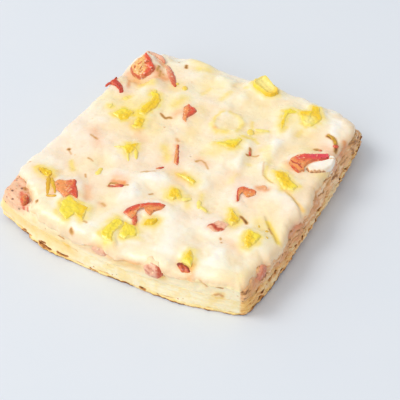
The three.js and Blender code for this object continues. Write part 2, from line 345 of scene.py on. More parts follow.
# outline: corner points in mm from the middle of the node's box. proud: how far the top stands
# above the cheese round it. tone: the side on which the deeper tint lies. film: how much cheese
# veils the edge. tilt: rise of the top per mm of x and y. drop: how far it lies below the node's
# top. soft: rounding of the corners. edge: width of the rounded edge. dish: depth of a hollow
# top. char, deep, pale, rose, veil: soft lines of scorched, darker, paler or rosy flesh and of
# cheese; radius, strength, line.
bits = {
    "tomato_corner": {
        "outline": [(-2.4, 5.1), (-0.8, 4.8), (1.8, 3.1), (4.3, 1), (6.2, -0.4), (5.5, -4.2),
                    (3, -8.3), (0.1, -8.6), (-3.3, -7), (-5.1, -4.7), (-4.8, -1.3), (-3.3, 2.6)],
        "proud": 1.6, "tone": (0.7, 0.7), "tilt": (0, 0.3), "drop": 1.9, "soft": 1.2, "edge": 0.9,
        "film": 0.15,
        "deep": [(1.5, 1.0, [(-2.4, 4.5), (1.5, 1.5), (4, -0.8)]),
                 (1.2, 1.0, [(4.6, -1.5), (4, -5), (2.3, -7.5)])],
        "pale": [(2.2, 0.9, [(-3.3, -2), (-2, -5), (0.5, -6.3)]),
                 (1.0, 0.8, [(-2.4, 1.6), (-0.4, -1)])],
        "charAndShade": [(0.45, 0.8, [(-4.7, -1.5), (-2.6, 3.8)]), (0.5, 0.75, [(0.6, -0.6), (1.8, 0.7)]),
                 (0.6, 0.9, [(5.2, -1.8)]), (0.35, 0.7, [(-1, -1), (-1.6, -2.5)]),
                 (0.35, 0.7, [(0.6, -3), (0.2, -4.2)]), (0.35, 0.7, [(-2.6, -4), (-2.2, -5.2)]),
                 (0.35, 0.7, [(1.6, -4.6), (1.3, -6)]),
                 (0.5, 0.5, [(-4.4, -5), (-1.5, -7.6), (2, -8)])]},
    "red_pepper_left_edge": {
        "outline": [(-1.2, 3.4), (-1.9, 2.1), (1.8, 0.8), (4.7, -1.2), (7.4, -4.6), (6.1, -6.2),
                    (4.3, -4.1), (1.8, -2.9), (0.1, -2.9), (-2.4, -1.6)],
        "proud": 0.7, "tone": (0.8, -0.6), "film": 0.1, "charAndShade": [(1.8, 0.6, [(1, 0), (6.5, -5)])],
        "deep": [(4, 1.0, [(-1, 1), (6, -4.5)])]},
    "red_pepper_back": {
        "outline": [(-1.8, 3.9), (3.2, 2.5), (4.3, 1), (3.9, -1.5), (2.4, -4.8), (3.7, -7.3),
                    (1.2, -6.5), (-0.9, -2.3), (-2.6, 1)],
        "proud": 0.5, "tone": (0.8, 0.5), "deep": [(1.3, 0.9, [(0, 2.6), (3, 0.6), (2.6, -3)])]},
    "red_pepper_sliver": {
        "outline": [(-2.8, 4.5), (-1.6, 5.3), (4.4, -4.6), (4.7, -6.6), (2.2, -5.7), (1.2, -3.6)],
        "proud": 0.3, "tone": (0.5, -0.8), "film": 0.3, "pale": [(2.2, 0.9, [(-2.4, 4.4), (3.4, -5)])],
        "charAndShade": [(0.35, 0.6, [(-2, 4.8), (1.2, 0.4), (4, -5.6)])]},
    "red_pepper_middle": {
        "outline": [(-3.1, 0.2), (0, 0.9), (3.7, 0.6), (4.6, -1.3), (2.9, -4.2), (1.7, -4.8),
                    (0.8, -3), (-1.3, -2.8), (-0.8, -5.5), (0.6, -8.2), (-0.4, -9), (-2.5, -5.1),
                    (-4, -1.7)],
        "proud": 0.4, "tone": (-0.3, 0.9), "pale": [(1.2, 0.5, [(2, -3), (-1.8, -5.5)])],
        "charAndShade": [(0.4, 0.6, [(-3.4, -2), (-1.5, -6), (0, -8.4)])]},
    "red_pepper_crescent": {
        "outline": [(-5.2, -8.8), (-5.2, -5.5), (-3.5, -2.6), (-1.8, -0.5), (0.7, 1.6), (4.8, 3.7),
                    (7.8, 3.7), (7.5, 0.3), (5.5, -1.8), (5.5, -4.7), (2.8, -3.8), (0.7, -2.2),
                    (-1, -3), (0.3, -8), (0.3, -10.1)],
        "proud": 0.4, "tone": (-0.6, 0.8),
        "deep": [(1.4, 0.9, [(-4, -7.5), (-2, -2.5), (1.5, 0.8), (6, 2.6)])],
        "charAndShade": [(0.5, 0.7, [(-5, -8), (-3, -2.4), (0.8, 1.4), (5, 3.4)])],
        "pale": [(1.2, 0.4, [(3, -1), (5.5, -2.5)])]},
    "red_pepper_front": {
        "outline": [(1.2, 3), (2.5, 2.6), (3.5, 0.5), (6.4, -2.4), (9.2, -6.3), (4.8, -5.7),
                    (3.5, -9.1), (1, -7.4), (-2.3, -6.6), (-5.2, -4.1), (-4.8, -0.7), (-1.5, 0.5)],
        "proud": 0.5, "tone": (0.8, 0.5), "film": 0.2,
        "pale": [(2.2, 0.6, [(-4, -3), (-1.5, -5)]), (0.9, 0.3, [(1.5, 1), (2, -3)])],
        "deep": [(2.2, 0.9, [(2, 1), (4, -3), (6.5, -4.6)])],
        "charAndShade": [(0.4, 0.7, [(1.8, 2.8), (3.6, 0.3), (6.6, -2.6), (9, -6)]),
                 (0.4, 0.6, [(3.4, -8.6), (-2, -6.4)])]},
    "red_pepper_long": {
        "outline": [(-6.4, -5.4), (-4.7, -2.1), (-0.1, 1.3), (3.6, 2.9), (6.6, 4.6), (7.8, 2.9),
                    (6.1, 0.4), (3.2, -2.1), (1.6, -4.6), (1.1, -7.9), (2.4, -10), (0.3, -12.1),
                    (-2.2, -11.2), (-5.9, -8.7)],
        "proud": 0.9, "tone": (0.6, 0.8), "film": 0.1, "edge": 0.8,
        "rose": [(2.4, 1.0, [(1, 0), (7, 3)]), (1.8, 0.4, [(-3, -4), (0, -1)])],
        "deep": [(2.4, 1.0, [(-3, -4), (0, -1), (3, 1)])],
        "pale": [(2.0, 0.5, [(-4.5, -9), (0.5, -11)])],
        "charAndShade": [(0.35, 0.6, [(-6.2, -5.6), (-4.6, -2.2), (0, 1.2), (6.4, 4.4)]),
                 (0.35, 0.7, [(-5, -7.6), (-1.5, -8), (0.6, -9.2)]),
                 (0.5, 0.4, [(-3.5, -10), (0, -11.6)])]},
    "ham_right": {
        "outline": [(-0.8, 2.8), (4.2, 2.8), (4.6, -0.1), (3.8, -2.2), (1.7, -3.9), (-2.9, -3),
                    (-2.9, -1), (-1.6, -0.1)],
        "proud": 0.3, "tone": (-0.1, -1), "film": 0.6,
        "charAndShade": [(0.7, 0.75, [(-2.6, -1.8), (-0.6, -1.2), (1.4, -2.2), (3.4, -1.4)])]},
    "ham_front_edge": {
        "outline": [(-2.3, 1.5), (-1.2, 3.6), (0, 4.3), (3.8, 2.4), (4.4, 0.7), (1.3, -0.6)],
        "proud": 0.4, "tone": (0.6, -0.6), "film": 0.0, "rose": [(3.0, 1.0, [(0, 1.6), (3.5, 1)])],
        "charAndShade": [(1.6, 1.2, [(-2, 1.2), (-0.6, 3.2), (0.8, 3.2), (3.6, 2.0)]),
                 (0.9, 0.8, [(0.8, 1.2), (1.6, 0.4)])]},
    "white_curd_right": {
        "outline": [(0.5, 8.3), (2.8, 9), (4.0, 7.6), (5.0, 3.2), (3.6, -1.2), (1.4, -3.4),
                    (-2, -5.4), (-4.5, -3.8), (-4.1, -0.5), (-1.2, 2.9), (1.7, 6.2)],
        "proud": 1.1, "tone": (0, -1), "soft": 1.4, "film": 0.0, "edge": 1.0,
        "pale": [(2.0, 0.6, [(-1, 0), (3, 5)])],
        "charAndShade": [(0.4, 1.0, [(-4.2, -3.6), (-2, -5.2), (1.4, -3.2), (3.6, -1.2)]),
                 (0.3, 0.7, [(1.6, 5.4), (3.6, 7)])]},
    "yellow_pepper_back_edge": {
        "outline": [(-3.4, 7.2), (2.4, 3.1), (5.7, 1.4), (7, -1.1), (4.9, -4.4), (2.4, -4.9),
                    (-0.5, -3.6), (-5.5, -1.9), (-7.2, 1), (-5.1, 5.6)],
        "proud": 1.5, "tone": (1, -0.4), "dish": 0.9, "film": 0.1, "edge": 0.8,
        "veil": [(3.0, 1.2, [(-4.2, 2.6), (1.4, 0.4)])], "deep": [(2.4, 1.0, [(5.4, 0), (4, -3.5)])]},
    "yellow_pepper_back_right": {
        "outline": [(-3.2, 3.9), (1, 3.9), (1.8, 1.8), (5.2, -1.9), (4.8, -4.9), (3.1, -9.4),
                    (0.2, -10.3), (-2.3, -8.2), (-4.8, -5.3), (-6.5, -3.2), (-1.9, 0.1)],
        "proud": 0.5, "tone": (0.1, 1), "veil": [(2.4, 1.1, [(0.4, -6), (0.8, -8)])],
        "deep": [(2.2, 1, [(-4, -3), (0.5, -1), (3.6, -3)])]},
    "yellow_pepper_curl": {
        "outline": [(2.8, 6), (2.1, 7.4), (-2.1, 7.6), (-3.5, 4.7), (-2.1, 1), (-0.8, -4),
                    (2.1, -8.2), (1.6, -3), (-0.2, 0.6), (-0.6, 4)],
        "proud": 0.05, "tone": (0.2, -1), "film": 1.0},
    "yellow_pepper_wedge": {
        "outline": [(-6.1, -5.1), (-2.6, -1), (1.6, 3.2), (3.2, 3.2), (3.2, -3.9), (0.7, -5.1),
                    (-2.6, -4.8)],
        "proud": 0.3, "tone": (0.6, -0.7)},
    "yellow_pepper_beside_curd": {
        "outline": [(-4.8, 1.2), (-2.3, 2.8), (0.6, 2.8), (4.3, -0.5), (8.1, -2.2), (7.2, -5.5),
                    (3.5, -6.8), (0.2, -4.2), (-3.6, -1.3)],
        "proud": 0.4, "tone": (-0.8, 0.3), "deep": [(2, 1, [(-3.6, 0.6), (0.6, 0), (3.5, -3.4)])]},
    "yellow_pepper_tall": {
        "outline": [(-3.7, 5.2), (-1.6, 6.8), (1.3, 6), (4.2, 2.3), (5, -2.3), (3.8, -6.5),
                    (3.4, -9.8), (0, -10.2), (-1.6, -5.7), (-0.8, -1.5), (-0.8, 2.7)],
        "proud": 0.3, "tone": (0.8, 0.2), "deep": [(2.6, 1.0, [(2.6, 2), (2.6, -3), (1.6, -8)])],
        "charAndShade": [(0.5, 0.25, [(3.8, 2.6), (4.6, -2.2), (3.4, -8)])]},
    "yellow_pepper_square": {
        "outline": [(-2.4, 3.2), (0.9, 3.9), (4.3, 3.2), (4.3, -2.3), (2.2, -4.8), (-1.2, -3.1),
                    (-4.1, -2.3)],
        "proud": 0.2, "tone": (0.8, -0.3), "film": 0.6, "deep": [(2.6, 0.7, [(2, 1), (1.6, -2)])]},
    "yellow_pepper_beside_square": {
        "outline": [(-2.8, 2.7), (1.4, 3.1), (3, -1.8), (1, -4), (-1.6, -3.6), (-2.2, -0.8)],
        "proud": 0.15, "tone": (0.4, 0.8), "film": 0.6, "deep": [(1.5, 1, [(0, 2), (1, -2)])]},
    "yellow_pepper_triangle": {
        "outline": [(3.1, 3.7), (3.9, -0.1), (3.1, -5.3), (1.4, -4.2), (-2.4, -2.1), (-1.1, 0.8)],
        "proud": 0.3, "tone": (1, 0), "deep": [(1.8, 0.9, [(2.4, 2), (2, -2.6)])]},
    "yellow_pepper_cube": {
        "outline": [(-2.2, 0.2), (-1.8, 1.4), (0.7, 2.5), (2.4, 1.4), (4.9, -1.1), (2.8, -2.7),
                    (2, -4.4), (-0.5, -4.2), (-2, -1.5)],
        "proud": 0.5, "tone": (-0.4, -0.7), "deep": [(2, 0.9, [(0, 0), (2, -2)])]},
    "yellow_pepper_flake": {
        "outline": [(-7, -0.1), (-3.3, 1.1), (0.5, 1.1), (3, -0.1), (2.6, -2.2), (-1.2, -1.3)],
        "proud": 0.2, "tone": (0.8, -0.8), "film": 0.8},
    "yellow_pepper_beside_ham": {
        "outline": [(-3.6, 2.5), (2.6, -0.8), (2.6, -3.7), (1, -5.8), (-1.1, -5), (-2.8, -0.8)],
        "proud": 0.7, "tone": (0.3, -0.6), "deep": [(1.8, 1, [(-1, -0.5), (1, -4)])]},
    "yellow_pepper_far_right": {
        "outline": [(-2.6, 2.4), (-0.1, 2.7), (3.9, 2.4), (3.9, -2.1), (2.4, -6.3), (0.8, -6.3),
                    (-0.9, -4.2), (-2.2, -1.3)],
        "proud": 0.5, "tone": (0.2, -0.9), "film": 0.5, "deep": [(1.4, 0.8, [(-1, 1), (0.6, -3.5)])]},
    "yellow_pepper_small": {
        "outline": [(1.2, 4.6), (2.1, 2.7), (1.2, 0.2), (-2, -1.5), (-2.7, 1.4), (-0.8, 3.6)],
        "proud": 0.8, "tone": (0.7, -0.3), "film": 0.1,
        "deep": [(1.8, 0.9, [(-1.4, 0.4), (0.6, 2.6)])]},
    "yellow_pepper_front_left": {
        "outline": [(-4.1, 5.5), (0.3, 4.2), (6.3, 3.8), (7.1, 1.3), (8.8, -3.9), (6.4, -3.2),
                    (4, -2.2), (2.3, -6.9), (-3.3, -4.3), (-3.7, -2.5), (-5.4, 1.3)],
        "proud": 0.4, "tone": (1, 0.1), "film": 0.9,
        "deep": [(1.6, 1, [(6, 3), (7, -2)]), (1.8, 0.7, [(-2, 4), (4, 3.4)])],
        "pale": [(3.4, 0.9, [(-2, -1), (2, -3.4)])]},
    "yellow_pepper_front_mid": {
        "outline": [(-0.6, 6), (2.4, 6.1), (4.4, 4.6), (4, 1.6), (3.6, -1.4), (4.2, -3.4),
                    (5.8, -5.8), (2.6, -6.2), (-0.4, -5.4), (-1.6, -3.8), (-1.2, 1.5)],
        "proud": 0.3, "tone": (0.5, -0.5), "film": 0.8, "pale": [(2.4, 0.7, [(0, 4), (1.4, -4)])]},
    "yellow_pepper_front_lobe": {
        "outline": [(-4.8, 3.6), (1.1, 3.9), (3.4, 1.4), (4.2, -0.5), (0.2, -4.8), (-2.4, -3.4),
                    (-3.6, 0)],
        "proud": 0.3, "tone": (-0.5, 0.5), "film": 0.8, "pale": [(2.6, 0.6, [(0, 0)])]},
    "yellow_pepper_spoon": {
        "outline": [(-4.1, 0.4), (-1.8, 2.0), (2.2, 2.2), (4.3, 0.4), (3.8, -2.7), (0.7, -2.9),
                    (-2.4, -1.6)],
        "proud": 0.4, "tone": (0.6, 0.4), "film": 0.0, "deep": [(2.2, 1, [(-2, 0), (2, 0)])],
        "charAndShade": [(0.5, 0.8, [(-3.8, 0.2), (-2, -1.2), (1, -2.3)]), (0.4, 0.7, [(-0.5, 0.8)]),
                 (0.4, 0.7, [(2, -0.6)]), (0.4, 0.6, [(-1.6, -0.2)]),
                 (0.4, 0.6, [(3.4, 0.2), (3.4, -2)])]},
    "yellow_pepper_front_right": {
        "outline": [(-0.4, 1.6), (1.4, 1.4), (3.4, -1.9), (4.3, -5.3), (-0.3, -4.8), (-0.9, -1.5)],
        "proud": 0.4, "tone": (0, 1), "deep": [(1.3, 0.8, [(0.4, 0.6), (1.4, -2)])]},
}
lumps = {
    # lumps bared by the knife: shift of the middle and growth of the half sizes of the node's
    # box, turn in degrees, cheese film, dark: painted shade on the right-hand side and in the
    # dents, and tone, pale to deep
    "ham_left_cut": {
        "shift": (0.6, 0.0, 2.2), "grow": (1.15, 1.0, 1.6), "turn": 0, "film": 0.15, "dark": 0.3,
        "tone": 0.5},
    "ham_middle_cut": {
        "shift": (0.4, -0.6, 2.0), "grow": (0.95, 1.1, 1.65), "turn": 0, "film": 0.0, "dark": 0.6,
        "tone": 0.2},
    "ham_right_cut": {
        "shift": (-0.4, -0.6, 1.5), "grow": (1.0, 1.0, 1.4), "turn": 0, "film": 0.0, "dark": 0.3,
        "tone": 0.9},
    "red_pepper_front_cut": {
        "shift": (2.1, 1.9, 2.0), "grow": (0.62, 1.3, 0.9), "turn": 30, "film": 0.0, "dark": 0.9,
        "tone": 0.6},
}


def bitOutline(name):  # the bit's rounded outline in the slice's frame
    form = bits[name]
    low, high = nodeBox(name)
    middle = (low + high)[:2] / 2
    line = roundLine(form["outline"], True, 96, form.get("soft", 0.7))
    ragged = latticeNoise(flat(line[:, 0], line[:, 1], len(name)) / 1.1, 71)
    outward = line / np.linalg.norm(line, axis=1, keepdims=True)
    return middle + line + outward * ragged[:, None] * 0.2


def bitPlace(name):  # outline, top height and the height of the cheese round the bit
    form = bits[name]
    top = nodeBox(name)[1][2] - form.get("drop", 0.0)
    return bitOutline(name), top, top - form["proud"]


def bitSurface(name):
    # rings drawn from the outline towards a line through the bit's middle: they go straight
    # down under the cheese, come out of it at a shallow angle (a quarter sine) and carry a low,
    # lumpy crown
    form = bits[name]
    low, high = nodeBox(name)
    outline, top, cheese = bitPlace(name)
    middle = outline.mean(0)
    away = outline - middle
    _, axes = np.linalg.eigh(away.T @ away)
    longAxis, shortAxis = axes[:, 1], axes[:, 0]
    along, across = away @ longAxis, away @ shortAxis
    bendLine = np.polyfit(along, across, 2)
    spineAlong = along * 0.72
    bend = np.polyval(bendLine, spineAlong)
    spine = middle + spineAlong[:, None] * longAxis + bend[:, None] * shortAxis
    reach = outline - spine
    span = np.maximum(np.linalg.norm(reach, axis=1), 0.5)
    isYellow = name.startswith("yellow")
    edge = form.get("edge", 1.0)
    foot = cheese - (0.1 if isYellow else 0.2)
    rows, heights = [], []
    for inset, height in ((1.4, low[2] + 0.1), (0.3, low[2] + 0.2), (0.0, low[2] + 0.7)):
        rows.append(1 - np.minimum(inset / span, 0.6))
        heights.append(height)
    for step in np.linspace(0, 1, 4):
        rows.append(1 - 0.2 * (1 - step) ** 2 * np.ones(len(outline)))
        heights.append(mixed(low[2] + 1.2, foot, step))
    for step in np.linspace(0.12, 1, 8):
        rows.append(1 - step * np.minimum(edge / span, 0.7))
        heights.append(foot + (top - foot) * math.sin(step * math.pi / 2) ** (1.2 if isYellow else 0.8))
    lastEdge = rows[-1]
    for step in np.linspace(0.1, 0.94, 11):
        rows.append(lastEdge * (1 - step))
        heights.append(top)
    shares = np.array(rows)
    z = np.array(heights)[:, None] * np.ones(len(outline))
    xy = spine[None] + reach[None] * shares[..., None]
    inner = np.clip(1 - shares, 0, 1)
    onTop = easeStep(foot - 0.3, foot + 0.3, z)
    places = flat(xy[..., 0], xy[..., 1], z)
    crown = 0.25 * (1 - (1 - inner) ** 2) - form.get("dish", 0.0) * easeStep(0.2, 0.8, inner)
    tiltX, tiltY = form.get("tilt", (0, 0))
    tilted = (xy[..., 0] - middle[0]) * tiltX + (xy[..., 1] - middle[1]) * tiltY
    rough = 0.28 * latticeNoise(places / 2.0, 81) + 0.14 * latticeNoise(places / 0.8, 82)
    rough = rough * (0.4 if name.startswith("white") else 1.0)
    z = z + onTop * (crown + rough * easeStep(0, 0.2, inner)) + tilted * onTop
    points, faces = closedRings(np.stack([xy[..., 0], xy[..., 1], z], -1))
    toneAxis = np.array(form["tone"]) / np.linalg.norm(form["tone"])
    tone = 0.5 + 0.5 * ((xy - middle) @ toneAxis) / (np.abs(away @ toneAxis).max())
    insideMm = (1 - shares) * span[None]
    boxMiddle = (low + high)[:2] / 2
    localX, localY = xy[..., 0] - boxMiddle[0], xy[..., 1] - boxMiddle[1]
    wander = 0.3 * latticeNoise(places / 1.2, 84)
    paint = {key: softLines(localX + wander, localY - wander, form.get(key, []))
             for key in ("deep", "pale", "charAndShade", "rose", "veil")}
    veil = form.get("film", 0.7 if isYellow else 0.2)
    film = veil * easeStep(1.3, 0.0, insideMm + 0.6 * latticeNoise(places / 1.7, 85))
    film = np.maximum(film, paint["veil"])
    rim = np.exp(-((insideMm - 0.4) / 0.3) ** 2) * (0.6 + 0.6 * latticeNoise(places / 2.2, 86))
    rim = np.clip(rim, 0, 1) * (0.4 if isYellow else 1.0) * onTop
    marks = {"tone": mixed(mixed(tone, 1, paint["deep"]), 0, paint["pale"]), "rim": rim, "film": film,
             "charAndShade": paint["charAndShade"] * onTop, "rose": paint["rose"]}
    return points, faces, {key: values.ravel() for key, values in marks.items()}


def bandSurface(path, rise, width, thickness, columns, ends=(1, 1), red=0, **marks):
    # a flattened round section carried along a smooth path at a rise above the cheese; it
    # narrows towards both ends as sin(pi t)^0.35; each mark runs evenly from its first to its
    # second value, and red is how much of the outer side is bare red skin
    path = np.asarray(path, float)
    line = roundLine(path, False, max(12, int(6 * len(path))), 1.2)
    t = np.linspace(0, 1, len(line))
    forward = np.gradient(line, axis=0)
    forward /= np.linalg.norm(forward, axis=1, keepdims=True)
    sideways = np.stack([forward[:, 1], -forward[:, 0]], -1)
    size = np.clip(np.sin(np.pi * np.clip(t, 0.004, 0.996)), 0, 1) ** 0.35 * mixed(*ends, t)
    angle = np.arange(columns) / columns * 2 * np.pi
    wobble = 1 + 0.3 * latticeNoise(flat(line[:, 0], line[:, 1]) / 2.0, 91)
    across = (width / 2 * size * wobble)[:, None] * np.cos(angle)
    xy = line[:, None] + sideways[:, None] * across[..., None]
    z = (cheeseField(line[:, 0], line[:, 1])[0] + rise)[:, None]
    z = z + (thickness / 2 * size)[:, None] * np.sin(angle)
    z = z + 0.12 * latticeNoise(flat(xy[..., 0], xy[..., 1]) / 0.9, 92)
    points, faces = closedRings(np.stack([xy[..., 0], xy[..., 1], z], -1))
    values = {"tone": (0.5, 0.5), "film": (0.4, 0.4), "charAndShade": (0, 0), "rose": (0, 0), **marks}
    spread = {name: (mixed(*pair, t)[:, None] * np.ones(columns)).ravel()
              for name, pair in values.items()}
    edge = np.tile(np.abs(np.cos(angle)), len(line))
    outer = red * np.tile(easeStep(-0.1, 0.7, -np.cos(angle)), len(line))
    spread["tone"] = spread["tone"] + 0.4 * latticeNoise(points / 1.1, 93)
    spread["film"] = np.clip(spread["film"] + 0.7 * edge ** 4, 0, 1) * (1 - outer)
    spread["rim"] = 0.3 * edge ** 3
    spread["rose"] = np.clip(spread["rose"] + outer, 0, 1)
    return points, faces, spread


def lumpSurface(middle, half, seed, form):
    # an ellipsoid by latitude and longitude, pushed in and out by lattice noise; its right-hand
    # side, away from the key light, and its dents are painted darker as shade; its top is veiled
    # with cheese
    rows, columns = 26, 40
    latitude = np.linspace(-0.49, 0.49, rows)[:, None] * np.pi
    longitude = np.arange(columns)[None] / columns * 2 * np.pi
    ball = np.stack(np.broadcast_arrays(np.cos(latitude) * np.cos(longitude),
                                        np.cos(latitude) * np.sin(longitude), np.sin(latitude)), -1)
    rough = layeredNoise(ball + seed * 7.1, 0.7, 95, 3)
    body = ball * (1 + 0.09 * rough)[..., None] * np.asarray(half)
    spin = math.radians(form["turn"])
    x = body[..., 0] * math.cos(spin) - body[..., 1] * math.sin(spin)
    y = body[..., 0] * math.sin(spin) + body[..., 1] * math.cos(spin)
    points, faces = closedRings(np.stack([x, y, body[..., 2]], -1) + np.asarray(middle))
    # painted shade: the dents take the darker rim colour, and with the right-hand side the scorched
    # colours
    dent = easeStep(0.0, 0.7, -rough)
    shadedRightSide = easeStep(0.35, 0.8, ball[..., 0] + 0.3 * rough)
    veil = form["film"]
    film = veil * (1 + 2 * easeStep(0, 0.5, rough))
    if veil:
        film = film + (1 - veil) * easeStep(0.4, 0.9, ball[..., 2])
    marks = {"tone": form["tone"] + 0.5 * rough, "rim": dent, "film": film, "rose": 0 * dent,
             "charAndShade": form["dark"] * (0.25 * dent + 0.8 * shadedRightSide)}
    return points, faces, {key: values.ravel() for key, values in marks.items()}


